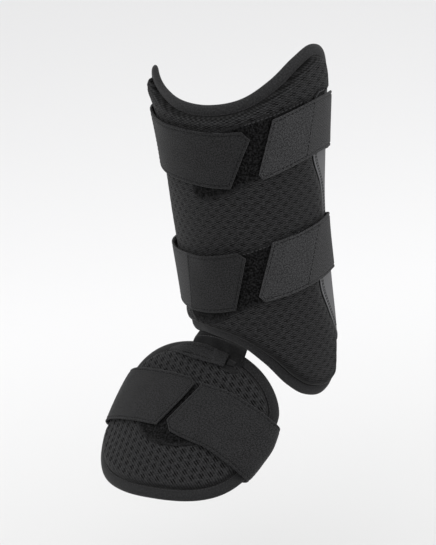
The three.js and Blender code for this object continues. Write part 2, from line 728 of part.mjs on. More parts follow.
// Right half of the foot strap's inner face: over the arch, round the pad's edge and straight across below.
function footStrapHalf(turn, edge) {
  const flat = edge + FOOT_STRAP_FOLD[0].past;
  if (turn <= FOOT_STRAP_FLAT) return archPoint((turn / FOOT_STRAP_FLAT) * flat, FOOT_STRAP_HEIGHT);
  const fold = FOOT_STRAP_FOLD.at(-1);
  const read = (column) => readTable(FOOT_STRAP_FOLD, 'turn', turn, column);
  const point = archPoint(edge + read('past'), read('height'));
  const share = Math.max(turn - fold.turn, 0) / (FOOT_STRAP_PERIOD / 2 - fold.turn);
  return point.set(point.x * (1 - share), point.y - FOOT_STRAP_SAG * share);
}

function footStrapPath(turn, edge) {
  if (turn <= FOOT_STRAP_PERIOD / 2) return footStrapHalf(turn, edge);
  const point = footStrapHalf(FOOT_STRAP_PERIOD - turn, edge);
  return point.set(-point.x, point.y);
}

function footStrapPoint(turn, across, lift) {
  const step = 0.5;
  const middle = readTable(FOOT_STRAP_LINE, 'turn', turn, 'middle');
  const width = readTable(FOOT_STRAP_LINE, 'turn', turn, 'width');
  const along = middle + (across - 0.5) * width;
  const edge = footHalfWidth(along);
  const path = footStrapPath(turn, edge);
  const heading = footStrapPath(turn + step, edge).sub(footStrapPath(turn - step, edge)).normalize();
  return footPlace(path.x - heading.y * lift, along, path.y + heading.x * lift);
}

function footStrap() {
  const [first, last] = [FOOT_STRAP_TURNS[0], FOOT_STRAP_PERIOD - FOOT_STRAP_TURNS[0]];
  const mirrored = FOOT_STRAP_TURNS.slice(1, -1).reverse().map((turn) => FOOT_STRAP_PERIOD - turn);
  const stations = [
    ...stationsBetween(FOOT_STRAP_RIGHT_END, squareCut(first), FOOT_STRAP_STEP),
    ...[...FOOT_STRAP_TURNS, ...mirrored].map((turn) => () => turn),
    ...stationsBetween(squareCut(last), FOOT_STRAP_LEFT_END, FOOT_STRAP_STEP),
    (w) => readCut(FOOT_STRAP_LEFT_END, w),
  ];
  const grid = (lift) => stations.map((station) => (
    FOOT_STRAP_ACROSS.map((w) => footStrapPoint(station(w), w, lift))));
  return sheetBody(grid(0), grid(STRAP_THICKNESS)).mesh('foot_strap', CLOTH.footStrap);
}

// Height of the shin pad's lower edge, and place of the foot pad's top edge.
const shinLowerRun = shinEdge.slice(0, SHIN_COLUMNS + 1);
const lowerEdgeHeight = (angle) => readRun(shinLowerRun, 'x', angle * DEG * SHIN_ARC, 'y');

function footTopEdge(round) {
  const share = 1 - (Math.abs(round) / FOOT_HALF_WIDTH) ** FOOT_SQUARENESS;
  return -FOOT_HALF_LENGTH * share ** (1 / FOOT_SQUARENESS);
}

// Band from behind the shin's lower edge to the top of the foot pad, under the flap.
function connector() {
  const { shinFrom, shinTo, shinLap, shinBend, footFrom, footTo, footLap, footBend, thickness } = CONNECTOR;
  const grid = (lift) => Array.from({ length: CONNECTOR_ACROSS + 1 }, (_, i) => {
    const share = i / CONNECTOR_ACROSS;
    const angle = shinFrom + (shinTo - shinFrom) * share;
    const round = footFrom + (footTo - footFrom) * share;
    const hem = lowerEdgeHeight(angle);
    const top = footTopEdge(round);
    const behind = -GAP - thickness + lift;
    const over = BINDING_HEIGHT + WIDE_GAP + lift;
    const run = new THREE.CatmullRomCurve3([
      shinPoint(angle, hem + shinLap, behind),
      shinPoint(angle, hem + shinLap / 2, behind),
      shinPoint(angle, hem - shinBend, behind),
      footSurface(round, top - footBend, BINDING_HEIGHT + GAP + lift),
      footSurface(round, top + footLap / 2, over),
      footSurface(round, top + footLap, over),
    ], false, 'centripetal');
    return run.getPoints(CONNECTOR_ALONG);
  });
  return sheetBody(grid(0), grid(thickness)).mesh('ankle_connector', CLOTH.connector);
}

// Strip sewn over the connector's end, along the foot's top edge.
function footFlap() {
  const shares = [0, 0.5, 1];
  const nearHeight = BINDING_HEIGHT + CONNECTOR.thickness + WIDE_GAP + 2 * GAP;
  const farHeight = FOOT_MESH_HEIGHT + 2 * GAP;
  const grid = (lift) => FLAP_ROWS.map(({ across, near, far }) => shares.map((share) => {
    const height = nearHeight + (farHeight - nearHeight) * Math.sin((share * Math.PI) / 2);
    return footSurface(across, near + (far - near) * share, height + lift);
  }));
  return sheetBody(grid(0), grid(FLAP_THICKNESS)).mesh('foot_flap', CLOTH.footStrap);
}

// Small folded tab at the flap's right end.
function pullTab() {
  const { from, to, near, far, height, thickness, rounding } = PULL_TAB;
  const shares = [0, 0.25, 0.75, 1];
  const half = thickness / 2;
  const grid = (side) => [from, to - rounding, to].map((round, i) => shares.map((share) => {
    const edge = share === 0 || share === 1 || i === 2;
    const lift = side * (edge ? half - rounding : half);
    return footSurface(round, near + (far - near) * share, height + half + lift);
  }));
  return sheetBody(grid(-1), grid(1)).mesh('foot_pull_tab', CLOTH.footStrap);
}

const guard = new THREE.Group();
guard.add(
  ...shinPieces(),
  sidePanel(),
  loopPatch('upper_loop_patch', LOOP_PATCHES.upper),
  loopPatch('lower_loop_patch', LOOP_PATCHES.lower),
  anchorPatch(),
  ...calfStrap('upper', CALF_STRAPS.upper),
  ...calfStrap('lower', CALF_STRAPS.lower),
  ...footPieces(),
  footPatch(),
  footStrap(),
  connector(),
  footFlap(),
  pullTab(),
);

export default guard;
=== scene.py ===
"""A batter's leg guard: spacer mesh over foam, bound edges, felt straps, elastic and stitching."""

import math

import bmesh
import bpy
import numpy as np
from mathutils import Matrix, Vector, kdtree, noise


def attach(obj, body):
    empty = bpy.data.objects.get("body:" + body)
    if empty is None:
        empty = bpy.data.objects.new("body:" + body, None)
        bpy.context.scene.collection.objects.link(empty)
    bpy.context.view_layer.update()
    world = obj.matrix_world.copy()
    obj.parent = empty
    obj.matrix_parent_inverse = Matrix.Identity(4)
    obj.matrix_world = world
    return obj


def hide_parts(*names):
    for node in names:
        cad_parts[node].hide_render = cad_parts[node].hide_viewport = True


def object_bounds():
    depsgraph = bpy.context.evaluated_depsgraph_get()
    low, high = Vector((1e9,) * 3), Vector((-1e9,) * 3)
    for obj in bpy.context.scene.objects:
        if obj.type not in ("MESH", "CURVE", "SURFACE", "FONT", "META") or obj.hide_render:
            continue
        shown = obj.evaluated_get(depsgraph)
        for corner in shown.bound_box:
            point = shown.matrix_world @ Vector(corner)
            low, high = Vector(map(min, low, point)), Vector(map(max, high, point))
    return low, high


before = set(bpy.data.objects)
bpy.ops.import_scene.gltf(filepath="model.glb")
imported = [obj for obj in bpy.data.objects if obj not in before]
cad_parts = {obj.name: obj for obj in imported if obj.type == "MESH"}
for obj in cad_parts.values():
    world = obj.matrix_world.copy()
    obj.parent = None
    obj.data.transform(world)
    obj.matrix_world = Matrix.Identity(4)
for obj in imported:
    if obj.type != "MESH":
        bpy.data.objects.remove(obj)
cad_low, cad_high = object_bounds()

# Sizes are in millimetres in the guard's frame, and meshes are in metres.
MM = 0.001
DEG = math.pi / 180
BODY = "root"
SMALL = 1e-6


# Short tables and lines of points

def table(columns, rows):
    """A short table as named columns of numbers, its first column the key."""
    return dict(zip(columns.split(), np.array(rows, float).T))


def blend(t, first, last, leave, arrive):
    """Smooth run from a first to a last value, with the slopes that it leaves and arrives with."""
    start = (1 + 2 * t) * (1 - t) ** 2
    return start * first + (1 - start) * last + t * (1 - t) ** 2 * leave + t * t * (t - 1) * arrive


def read(rows, at, column):
    """Smooth value of one column where the key column has a value, level past its ends."""
    keys, values = next(iter(rows.values())), rows[column]
    place = np.arange(len(keys))
    before, after = np.maximum(place - 1, 0), np.minimum(place + 1, len(keys) - 1)
    slopes = (values[after] - values[before]) / (keys[after] - keys[before])
    i = np.clip(np.searchsorted(keys, at, side="right") - 1, 0, len(keys) - 2)
    span = keys[i + 1] - keys[i]
    t = np.clip((at - keys[i]) / span, 0, 1)
    return blend(t, values[i], values[i + 1], span * slopes[i], span * slopes[i + 1])


def from_ends(ends, share):
    """Value a share of the way from the first of some values to the last."""
    return ends[0] + (ends[-1] - ends[0]) * share


def smooth_step(low, high, value):
    """0 below low, 1 above high, and an even rise between."""
    t = np.clip((value - low) / (high - low), 0, 1)
    return t * t * (3 - 2 * t)


def hump(rise, fall, value):
    """0, then 1 past the range where it rises, and 0 again past the range where it falls."""
    return smooth_step(*rise, value) * (1 - smooth_step(*fall, value))


def ridge(value, at, spread):
    """Round ridge of height 1 along a line."""
    return np.exp(-((value - at) / spread) ** 2)


def unit(vectors):
    return vectors / np.linalg.norm(vectors, axis=-1)[..., None]


def run_lengths(line):
    """Distance along a line of points, at each of them."""
    return np.concatenate([[0], np.cumsum(np.linalg.norm(np.diff(line, axis=0), axis=1))])


def resample(places, lengths, line):
    """Points of a line at distances along it."""
    return np.stack([np.interp(places, lengths, column) for column in line.T], -1)


# Layers: heights above the inner face of the shin pad or the foot pad, widths, insets and thicknesses
GAP = 0.45
BINDING_WIDTH = 9
BINDING_HEIGHT = 5
BINDING_WALL = 1.2
BINDING_TUCK = 0.7
PANEL_INSET = BINDING_WIDTH + 0.05
LINING_INSET = BINDING_WIDTH - BINDING_TUCK
SHIN_PAD_HEIGHT = 7
SHIN_MESH_HEIGHT = 12
FOOT_PAD_HEIGHT = 5
FOOT_MESH_HEIGHT = 9.5
PATCH_THICKNESS = 1
STRAP_THICKNESS = 1.8

# Shin hollow by height: its radius, the sideways shift of its middle and the shift of its front line
SHIN = table("z radius side front", [
    (-160, 50.0, 2.8, -3.0),
    (-110, 52.9, 3.5, -1.5),
    (-60, 53.3, 2.4, 0.0),
    (0, 54.8, 0.3, 0.0),
    (60, 58.9, 0.8, 0.0),
    (110, 64.5, -1.0, 0.0),
    (150, 68.1, -4.6, 0.0),
])
SHIN_ARC = 60
ROUND = DEG * SHIN_ARC

# Flares of the shin's left side, at its horn and its heel, with the ranges where they rise
FLARE_SIDE = (40, 68)
HORN_FLARE = 3.7
HORN_FLARE_RISE = (82, 112)
HORN_RETURN = 2.5
HORN_RETURN_RISE = (109, 124)
HEEL_FLARE = 5
HEEL_FLARE_RISE = (72, 98)

# Outer edge of the shin pad, counterclockwise from its lower left corner
SHIN_EDGE = table("angle z", [
    (-76, -91.5), (-58, -99.3), (-40, -96), (-20, -95), (0, -99.5), (18, -113.8), (36, -134.5), (52, -147),
    (72, -152), (89, -143), (92.8, -115), (92, 0), (96, 108), (90, 129), (76, 136), (60, 130.5),
    (42, 117.5), (22, 106), (0, 102), (-22, 103.2), (-36, 106.5), (-46.5, 110.5), (-54, 116.7),
    (-60, 121.7), (-67.5, 120), (-73.5, 110), (-80, 88), (-81, 10), (-80, -60),
])
EDGE_STEPS = 24

# Seam between the mesh panel and the woven side panel
SIDE_SEAM = table("z angle", [
    (-114, 92.6), (-98, 85.5), (-84, 80), (-60, 73), (-36, 75), (-13, 83), (5, 85),
    (23, 82), (48, 73), (75, 75), (92, 82), (101, 92.6),
])
SIDE_PANEL_OVERHANG = 0.4
SIDE_PANEL_THICKNESS = 1.4
SIDE_EDGE = (SIDE_SEAM["angle"][0] + SIDE_PANEL_OVERHANG) * ROUND

# Slopes at the mesh panel's rim: widths, and where on the left the longer ones start and are full
SHOULDER = 5.6
SHOULDER_ROUND = 2.2
SEAM_SHOULDER = 18
HEEL_SHOULDER = 11
HEEL_SLOPE_FROM = (50, 72)
HORN_SHOULDER = 8.5
HORN_SLOPE_FROM = (84, 102)
LEFT_SLOPE_SIDE = (38, 62)

# Foot pad: its middle, turns, arch and outline
FOOT_MIDDLE = np.array((-42.4, -40.3, -151.1))
FOOT_YAW = 5.5 * DEG
FOOT_SLOPE = 41.6 * DEG
FOOT_LEAN = -2 * DEG
FOOT_RADIUS = 127
FOOT_HALF_WIDTH = 81.2
FOOT_HALF_LENGTH = 67
FOOT_SQUARENESS = 2.3
FOOT_TOE_STRETCH = 1.05
FOOT_LEFT_FIT = table("along shift", [
    (-60, 0), (-46, -1), (-37, -3), (-20, -3.5), (-5, -2), (6, 0), (14, 3.5), (24, 3), (45, 1.7), (58, 1.0),
    (67, -3.4),
])
FOOT_RIGHT_FIT = table("along shift", [
    (-60, 0), (-45, 1.5), (-24, 2.4), (-12, 0.5), (5, -0.5), (20, -2.5), (38, -1.7), (48, -0.4),
    (58, 2), (67, 5),
])


# Surfaces that the cloth lies on

def shin_section(z):
    return [read(SHIN, z, column) for column in ("radius", "side", "front")]


def shin_point(angle, z, height):
    """Point by angle round the shin from its front, height up it and height off the pad's inner face."""
    radius, side, front = shin_section(z)
    horn = HORN_FLARE * smooth_step(*HORN_FLARE_RISE, z) - HORN_RETURN * smooth_step(*HORN_RETURN_RISE, z)
    heel = HEEL_FLARE * smooth_step(*HEEL_FLARE_RISE, -z)
    reach = radius + height + (horn + heel) * smooth_step(*FLARE_SIDE, -angle)
    x = side + reach * np.sin(angle * DEG)
    y = front + radius - reach * np.cos(angle * DEG)
    return np.stack(np.broadcast_arrays(x, y, z), -1)


def on_shin(flat):
    """Flat points wrapped on the shin: distance round, height up it, height off it."""
    return shin_point(flat[:, 0] / ROUND, flat[:, 1], flat[:, 2])


UP = np.array((0, 0, 1))
foot_forward = np.array((-math.sin(FOOT_YAW), -math.cos(FOOT_YAW), 0))
foot_level = np.array((math.cos(FOOT_YAW), -math.sin(FOOT_YAW), 0))
foot_toe = foot_forward * math.cos(FOOT_SLOPE) - UP * math.sin(FOOT_SLOPE)
foot_upright = UP * math.cos(FOOT_SLOPE) + foot_forward * math.sin(FOOT_SLOPE)
foot_across = foot_level * math.cos(FOOT_LEAN) - foot_upright * math.sin(FOOT_LEAN)
foot_normal = foot_upright * math.cos(FOOT_LEAN) + foot_level * math.sin(FOOT_LEAN)


def foot_place(out, along, height):
    """Point by distance out from the foot's middle line, along to the toe, and up."""
    parts = np.stack(np.broadcast_arrays(out, along, height), -1)
    return FOOT_MIDDLE + parts @ np.stack([foot_across, foot_toe, foot_normal])


def arch_point(around, height):
    """Distance out and height of a point over the foot's arch."""
    reach = FOOT_RADIUS + height
    turn = around / FOOT_RADIUS
    return reach * np.sin(turn), reach * np.cos(turn) - FOOT_RADIUS


def foot_point(around, along, height):
    out, rise = arch_point(around, height)
    return foot_place(out, along, rise)


def on_foot(flat):
    """Flat points wrapped on the foot's arch: distance round, distance along, height."""
    return foot_point(flat[:, 0], flat[:, 1], flat[:, 2])


# Flat outlines

def curve_between(p0, p1, p2, p3, t):
    """Smooth run from p1 to p2, which goes on to the points before and after them."""
    chords = (p1 - p0, p2 - p1, p3 - p2)
    d0, d1, d2 = (np.linalg.norm(chord, axis=-1)[..., None] ** 0.5 + SMALL for chord in chords)
    leave = ((p1 - p0) / d0 - (p2 - p0) / (d0 + d1) + (p2 - p1) / d1) * d1
    arrive = ((p2 - p1) / d1 - (p3 - p1) / (d1 + d2) + (p3 - p2) / d2) * d1
    return blend(t, p1, p2, leave, arrive)


def closed_curve(points, steps):
    """Smooth closed curve through points, in short chords."""
    corners = (np.roll(points, shift, axis=0) for shift in (1, 0, -1, -2))
    t = np.linspace(0, 1, steps, endpoint=False)[:, None, None]
    return curve_between(*corners, t).transpose(1, 0, 2).reshape(-1, 2)


def open_curve(rows, share):
    """Smooth runs through rows of points, one run for each column, at a share of the way along."""
    rows = np.concatenate([2 * rows[:1] - rows[1:2], rows, 2 * rows[-1:] - rows[-2:-1]])
    place = np.clip(share, 0, 1) * (len(rows) - 3)
    i = np.minimum(place.astype(int), len(rows) - 4)
    corners = (rows[i + shift, np.arange(len(i))] for shift in range(4))
    return curve_between(*corners, (place - i)[:, None])


def rounded_outline(half_width, half_length, squareness, steps=720):
    """Outline between an ellipse and a rectangle."""
    turn = np.linspace(0, 2 * math.pi, steps, endpoint=False)
    bent = [np.sign(v) * np.abs(v) ** (2 / squareness) for v in (np.cos(turn), np.sin(turn))]
    return np.stack([half_width * bent[0], half_length * bent[1]], -1)


def rounded_half(at, reach, half):
    """Half size of the foot's rounded outline at a distance from its middle, before its fit."""
    share = np.clip(1 - (np.abs(at) / reach) ** FOOT_SQUARENESS, 0, 1)
    return half * share ** (1 / FOOT_SQUARENESS)


def foot_half_width(along):
    return rounded_half(along, FOOT_HALF_LENGTH, FOOT_HALF_WIDTH)


def foot_top(around):
    """Distance along the foot of its top edge."""
    return -rounded_half(around, FOOT_HALF_WIDTH, FOOT_HALF_LENGTH)


def foot_fit(left, along):
    """How much further out the foot's edge lies than its rounded outline."""
    shifts = [read(rows, along, "shift") for rows in (FOOT_LEFT_FIT, FOOT_RIGHT_FIT)]
    return np.where(left, *shifts)


class Outline:
    """A closed flat edge, counterclockwise, that tells how deep a point lies inside it."""

    COUNT = 1600
    ON_EDGE = 0.3

    def __init__(self, points):
        ring = np.vstack([points, points[:1]])
        lengths = run_lengths(ring)
        self.length = lengths[-1]
        self.points = resample(np.linspace(0, self.length, self.COUNT, endpoint=False), lengths, ring)
        self.low, self.high = self.points.min(axis=0), self.points.max(axis=0)
        ahead = unit(np.roll(self.points, -1, axis=0) - np.roll(self.points, 1, axis=0))
        self.inward = np.stack([-ahead[:, 1], ahead[:, 0]], -1)
        self.tree = kdtree.KDTree(self.COUNT)
        for i, (x, y) in enumerate(self.points):
            self.tree.insert((x, y, 0), i)
        self.tree.balance()

    def at(self, share):
        """Point and inward direction at a share of the way round."""
        place = np.asarray(share) % 1 * self.COUNT
        i = place.astype(int) % self.COUNT
        j = (i + 1) % self.COUNT
        t = (place - np.floor(place))[..., None]
        point, inward = (values[i] * (1 - t) + values[j] * t for values in (self.points, self.inward))
        return point, unit(inward)

    def depth(self, points, inset=0):
        """Depth of each point past an inset from the edge, and the inward direction there."""
        found = [self.tree.find((x, y, 0))[1] for x, y in points]
        away = points - self.points[found]
        inward = self.inward[found]
        inside = np.sign((away * inward).sum(axis=1))
        distance = np.linalg.norm(away, axis=1)
        straight = (inside / np.maximum(distance, SMALL))[:, None] * away
        return inside * distance - inset, np.where(distance[:, None] > self.ON_EDGE, straight, inward)


def foot_shape():
    """Foot pad's outline, fitted at its sides and drawn out at its toe."""
    points = rounded_outline(FOOT_HALF_WIDTH, FOOT_HALF_LENGTH, FOOT_SQUARENESS)
    out, along = points.T.copy()
    points[:, 0] += np.sign(out) * foot_fit(out < 0, along) * np.abs(out) / FOOT_HALF_WIDTH
    points[:, 1] += np.maximum(along, 0) * (FOOT_TOE_STRETCH - 1)
    return points


shin_outline = Outline(closed_curve(np.stack([SHIN_EDGE["angle"] * ROUND, SHIN_EDGE["z"]], -1), EDGE_STEPS))
foot_outline = Outline(foot_shape())


def seam_along(z):
    return read(SIDE_SEAM, z, "angle") * ROUND


def to_seam(points):
    """Distance of points from the mesh panel's edge at the side seam."""
    return seam_along(points[:, 1]) - GAP / 2 - points[:, 0]


def shin_panel_depth(points):
    """Depth inside the shin's mesh panel, which ends at the binding and at the side seam."""
    depth, inward = shin_outline.depth(points, PANEL_INSET)
    seam = to_seam(points)
    beside = seam < depth
    return np.where(beside, seam, depth), np.where(beside[:, None], (-1, 0), inward)


def foot_panel_depth(points):
    return foot_outline.depth(points, PANEL_INSET)


def horn_share(points):
    return smooth_step(*HORN_SLOPE_FROM, points[:, 1]) * smooth_step(*LEFT_SLOPE_SIDE, -points[:, 0])


def heel_share(points):
    return smooth_step(*HEEL_SLOPE_FROM, -points[:, 1]) * smooth_step(*LEFT_SLOPE_SIDE, -points[:, 0])


def shin_panel_rise(points):
    """Depth that sets the mesh panel's height, with long slopes at the left corners and the side seam."""
    heel = heel_share(points) * (1 - SHOULDER / HEEL_SHOULDER)
    horn = horn_share(points) * (1 - SHOULDER / HORN_SHOULDER)
    depth = shin_outline.depth(points, PANEL_INSET)[0] * (1 - heel - horn)
    return np.minimum(depth, to_seam(points) * SHOULDER / SEAM_SHOULDER)


def foot_panel_rise(points):
    return foot_panel_depth(points)[0]


# Modelling steps

SEAM_REACH = 0.02
CUT_MARGIN = 1
RIM_PASSES = 3


def alone(piece):
    """Selects one piece and nothing else."""
    bpy.ops.object.select_all(action="DESELECT")
    piece.select_set(True)
    bpy.context.view_layer.objects.active = piece
    return piece


def points_of(piece):
    points = np.empty(len(piece.data.vertices) * 3)
    piece.data.vertices.foreach_get("co", points)
    return points.reshape(-1, 3)


def shares_of(piece):
    """Shares across and up a flat cloth, for each of its points."""
    return points_of(piece)[:, :2].T


def corners_of(piece):
    corners = np.empty(len(piece.data.loops), int)
    piece.data.loops.foreach_get("vertex_index", corners)
    return corners


def move_points(piece, points):
    piece.data.vertices.foreach_set("co", np.ascontiguousarray(points, float).ravel())
    piece.data.update()


def flat_cloth(name, columns, rows):
    """A flat sheet of cloth, from 0 to 1 each way, to be cut and shaped."""
    bpy.ops.object.select_all(action="DESELECT")
    bpy.ops.mesh.primitive_grid_add(x_subdivisions=columns, y_subdivisions=rows, size=1)
    piece = bpy.context.object
    piece.name = piece.data.name = f"{name}_cloth"
    move_points(piece, points_of(piece) + (0.5, 0.5, 0))
    return piece


def lay_pattern(piece, flat):
    """Keeps each point's place on the flat cloth as the piece's UV map, in metres."""
    layer = piece.data.uv_layers.active or piece.data.uv_layers.new(name="pattern")
    layer.data.foreach_set("uv", (flat[corners_of(piece), :2] * MM).ravel())


def store_share(piece, name, values):
    """Keeps one number for each point, for the piece's material."""
    attribute = piece.data.attributes.new(name, "FLOAT", "POINT")
    attribute.data.foreach_set("value", np.ascontiguousarray(values, np.float32))


def edit(piece, *steps):
    """Runs edit mode operators on all of a piece."""
    alone(piece)
    bpy.ops.object.mode_set(mode="EDIT")
    bpy.ops.mesh.select_all(action="SELECT")
    for step, settings in steps:
        step(**settings)
    bpy.ops.object.mode_set(mode="OBJECT")
    return piece


def modify(piece, kind, **settings):
    """Adds a modifier, sets it and applies it."""
    alone(piece)
    modifier = piece.modifiers.new(kind.lower(), kind)
    for name, value in settings.items():
        setattr(modifier, name, value)
    bpy.ops.object.modifier_apply(modifier=modifier.name)
    return piece


MERGE = (bpy.ops.mesh.remove_doubles, {"threshold": SEAM_REACH * MM})
OUTWARDS = (bpy.ops.mesh.normals_make_consistent, {"inside": False})


def close_seams(piece):
    """Merges the points that meet at seams and turns all faces outwards."""
    return edit(piece, MERGE, OUTWARDS)


def thicken(piece, thickness, turned=False):
    """Gives a sheet its thickness under its outer face."""
    if turned:
        edit(piece, (bpy.ops.mesh.flip_normals, {}))
    return modify(piece, "SOLIDIFY", thickness=thickness * MM, offset=-1, use_even_offset=False)


def finish_piece(piece, material, slot, *nodes):
    """Gives a piece its material, its body and the solids that it stands for."""
    piece.data.materials.clear()
    piece.data.materials.append(material)
    alone(piece)
    bpy.ops.object.shade_smooth()
    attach(piece, BODY)
    if nodes:
        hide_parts(*nodes)
    return piece


def lay_cloth(piece, flat, points, thickness, material, slot, node, turned=False):
    """Lays a flat cloth in its place, with its pattern and its thickness, and finishes it."""
    lay_pattern(piece, flat)
    move_points(piece, points * MM)
    thicken(piece, thickness, turned)
    close_seams(piece)
    return finish_piece(piece, material, slot, node)


def cut_cloth(name, depth_of, outline, inset, step):
    """A flat grid of cloth cut to where the depth is positive, with its rim drawn onto the edge."""
    low, high = outline.low + inset - CUT_MARGIN, outline.high - inset + CUT_MARGIN
    counts = np.ceil((high - low) / step).astype(int)
    piece = flat_cloth(name, int(counts[0]), int(counts[1]))
    points = points_of(piece)
    points[:, :2] = low + points[:, :2] * counts * step
    move_points(piece, points)
    outside = depth_of(points[:, :2])[0] <= 0
    lost = outside[corners_of(piece).reshape(-1, 4)].all(axis=1)
    alone(piece)
    bpy.context.tool_settings.mesh_select_mode = (False, False, True)
    bpy.ops.object.mode_set(mode="EDIT")
    bpy.ops.mesh.select_all(action="DESELECT")
    bpy.ops.object.mode_set(mode="OBJECT")
    piece.data.polygons.foreach_set("select", lost)
    bpy.ops.object.mode_set(mode="EDIT")
    bpy.ops.mesh.delete(type="FACE")
    bpy.ops.object.mode_set(mode="OBJECT")
    bpy.context.tool_settings.mesh_select_mode = (True, False, False)
    points = points_of(piece)
    for _ in range(RIM_PASSES):
        depth, inward = depth_of(points[:, :2])
        past = depth < 0
        points[past, :2] -= inward[past] * depth[past, None]
    move_points(piece, points)
    return piece


# Materials

class Socket:
    """An output of a material's nodes, with maths written as expressions."""

    def __init__(self, finish, socket):
        self.finish = finish
        self.socket = socket

    def maths(self, operation, first, second=0.0):
        return self.finish.node("ShaderNodeMath", {"operation": operation}, {0: first, 1: second})

    def __add__(self, other):
        return self.maths("ADD", self, other)

    def __sub__(self, other):
        return self.maths("SUBTRACT", self, other)

    def __mul__(self, other):
        return self.maths("MULTIPLY", self, other)

    def __rsub__(self, other):
        return self.maths("SUBTRACT", other, self)

    __radd__ = __add__
    __rmul__ = __mul__

    def sine(self):
        return self.maths("SINE", self)

    def clamped(self):
        return self.finish.node("ShaderNodeClamp", None, {0: self})


class Finish:
    """A material and the nodes that make it."""

    SPECULAR = 0.08
    SHEEN_ROUGHNESS = 0.45
    NOISE_ROUGHNESS = 0.6

    def __init__(self, name, roughness, sheen):
        self.material = bpy.data.materials.new(name)
        self.material.use_nodes = True
        self.tree = self.material.node_tree
        self.shader = self.tree.nodes["Principled BSDF"]
        self.set("Roughness", roughness)
        self.set("Specular IOR Level", self.SPECULAR)
        self.set("Sheen Weight", sheen)
        self.set("Sheen Roughness", self.SHEEN_ROUGHNESS)

    def link(self, value, socket):
        if isinstance(value, Socket):
            self.tree.links.new(value.socket, socket)
        else:
            socket.default_value = value

    def node(self, kind, settings=None, inputs=None, output=0):
        """One node: its settings first, then the values or links of its sockets."""
        node = self.tree.nodes.new(kind)
        for name, value in (settings or {}).items():
            setattr(node, name, value)
        for name, value in (inputs or {}).items():
            self.link(value, node.inputs[name])
        return Socket(self, node.outputs[output])

    def set(self, name, value):
        self.link(value, self.shader.inputs[name])

    def coordinates(self, kind="UV"):
        return self.node("ShaderNodeTexCoord", output=kind)

    def axes(self, where):
        split = self.tree.nodes.new("ShaderNodeSeparateXYZ")
        self.link(where, split.inputs[0])
        return [Socket(self, output) for output in split.outputs]

    def noise(self, where, size, detail=3.0):
        """Soft noise about 0, with features of about a size in millimetres."""
        inputs = {"Vector": where, "Scale": 1 / (size * MM), "Detail": detail}
        inputs["Roughness"] = self.NOISE_ROUGHNESS
        return self.node("ShaderNodeTexNoise", None, inputs) - 0.5

    def wave(self, axis, pitch):
        """Sine wave of a pitch in millimetres along an axis."""
        return (axis * (2 * math.pi / (pitch * MM))).sine()

    def mix(self, share, first, second):
        inputs = {0: share, 6: first, 7: second}
        return self.node("ShaderNodeMix", {"data_type": "RGBA"}, inputs, output=2)

    def tones(self, tone, level, dark, pale):
        """Colours from a dark to a pale share of a grey level, half way where the tone is 0."""
        return self.mix(tone + 0.5, grey(level * dark), grey(level * pale))

    def bump(self, height, distance):
        inputs = {"Distance": distance * MM, "Height": height}
        self.set("Normal", self.node("ShaderNodeBump", None, inputs))

    def attribute(self, name):
        return self.node("ShaderNodeAttribute", {"attribute_name": name}, output="Fac")


def grey(level, blue=0.012):
    """A neutral cloth colour from a screen level of 0 to 255, with a trace of blue."""
    value = level / 255
    linear = value / 12.92 if value <= 0.04045 else ((value + 0.055) / 1.055) ** 2.4
    return (linear * (1 - blue), linear * (1 - blue), linear * (1 + 2 * blue), 1)


def brick_threads(finish, along, up, pitch=4.0, row=1.92):
    """Threads that leave short dark gaps laid like bricks, from -1 to 1."""
    return finish.wave(along, pitch) * finish.wave(up, row)


def slanted_threads(finish, along, up, slant=(0.66, 0.75), pitch=1.9):
    """Threads in one slanting direction, from -1 to 1."""
    return finish.wave(along * slant[0] - up * slant[1], pitch)


def spacer_mesh(name, level, threads, web, depth, fuzz_size=0.7, grain_size=1.6, contrast=2.2, relief=0.6,
                hollow_shade=0.12, rim_shade=0.45, shadow=0.06):
    """Knitted mesh: fuzzy yarn round hollows, with fine threads across the hollows, and painted shade in its
    gaps, its hollows and along its rim.
    """
    finish = Finish(name, roughness=0.9, sheen=0.08)
    where = finish.coordinates()
    along, up, _ = finish.axes(where)
    gaps = (threads(finish, along, up) * contrast + 0.5).clamped()
    fuzz = finish.noise(where, fuzz_size)
    grain = finish.noise(where, grain_size, detail=2.0)
    hollow, rim = finish.attribute("hole"), finish.attribute("rim")
    yarn = finish.tones((fuzz + grain) * contrast, level, dark=0.65, pale=1.4)
    # Painted shade: the gaps between threads go towards near black, more so in the hollows, and the hollows
    # and the rim are darkened too.
    shade = gaps * (web + hollow * depth) + hollow * hollow_shade + rim * rim_shade
    finish.set("Base Color", finish.mix(shade, yarn, grey(level * shadow)))
    finish.bump(fuzz * relief - gaps * hollow * relief, distance=0.4)
    return finish.material


def felt(name, level, nap_size=0.8, grain_size=1.2, cloud_size=14.0, contrast=3.6, cloudy=0.5):
    """Brushed knit with a short nap, a little cloudy."""
    finish = Finish(name, roughness=0.92, sheen=0.1)
    where = finish.coordinates()
    nap, grain, cloud = (finish.noise(where, size, detail=2.0) for size in (nap_size, grain_size, cloud_size))
    tone = (nap + grain) * contrast + cloud * cloudy
    finish.set("Base Color", finish.tones(tone, level, dark=0.65, pale=1.35))
    finish.bump(nap, distance=0.35)
    return finish.material


def woven_elastic(name, level, rib_pitch=1.3, pick_pitch=0.8, fuzz_size=1.1, contrast=4.0, rib_share=0.15,
                  pick_relief=0.5, fuzz_relief=0.4):
    """Elastic webbing with fine ribs along it and a tight cross weave."""
    finish = Finish(name, roughness=0.75, sheen=0.1)
    where = finish.coordinates()
    along, across, _ = finish.axes(where)
    rib, pick = finish.wave(across, rib_pitch), finish.wave(along, pick_pitch)
    fuzz = finish.noise(where, fuzz_size)
    finish.set("Base Color", finish.tones(rib * rib_share + fuzz * contrast, level, dark=0.72, pale=1.28))
    finish.bump(rib + pick * pick_relief + fuzz * fuzz_relief, distance=0.14)
    return finish.material


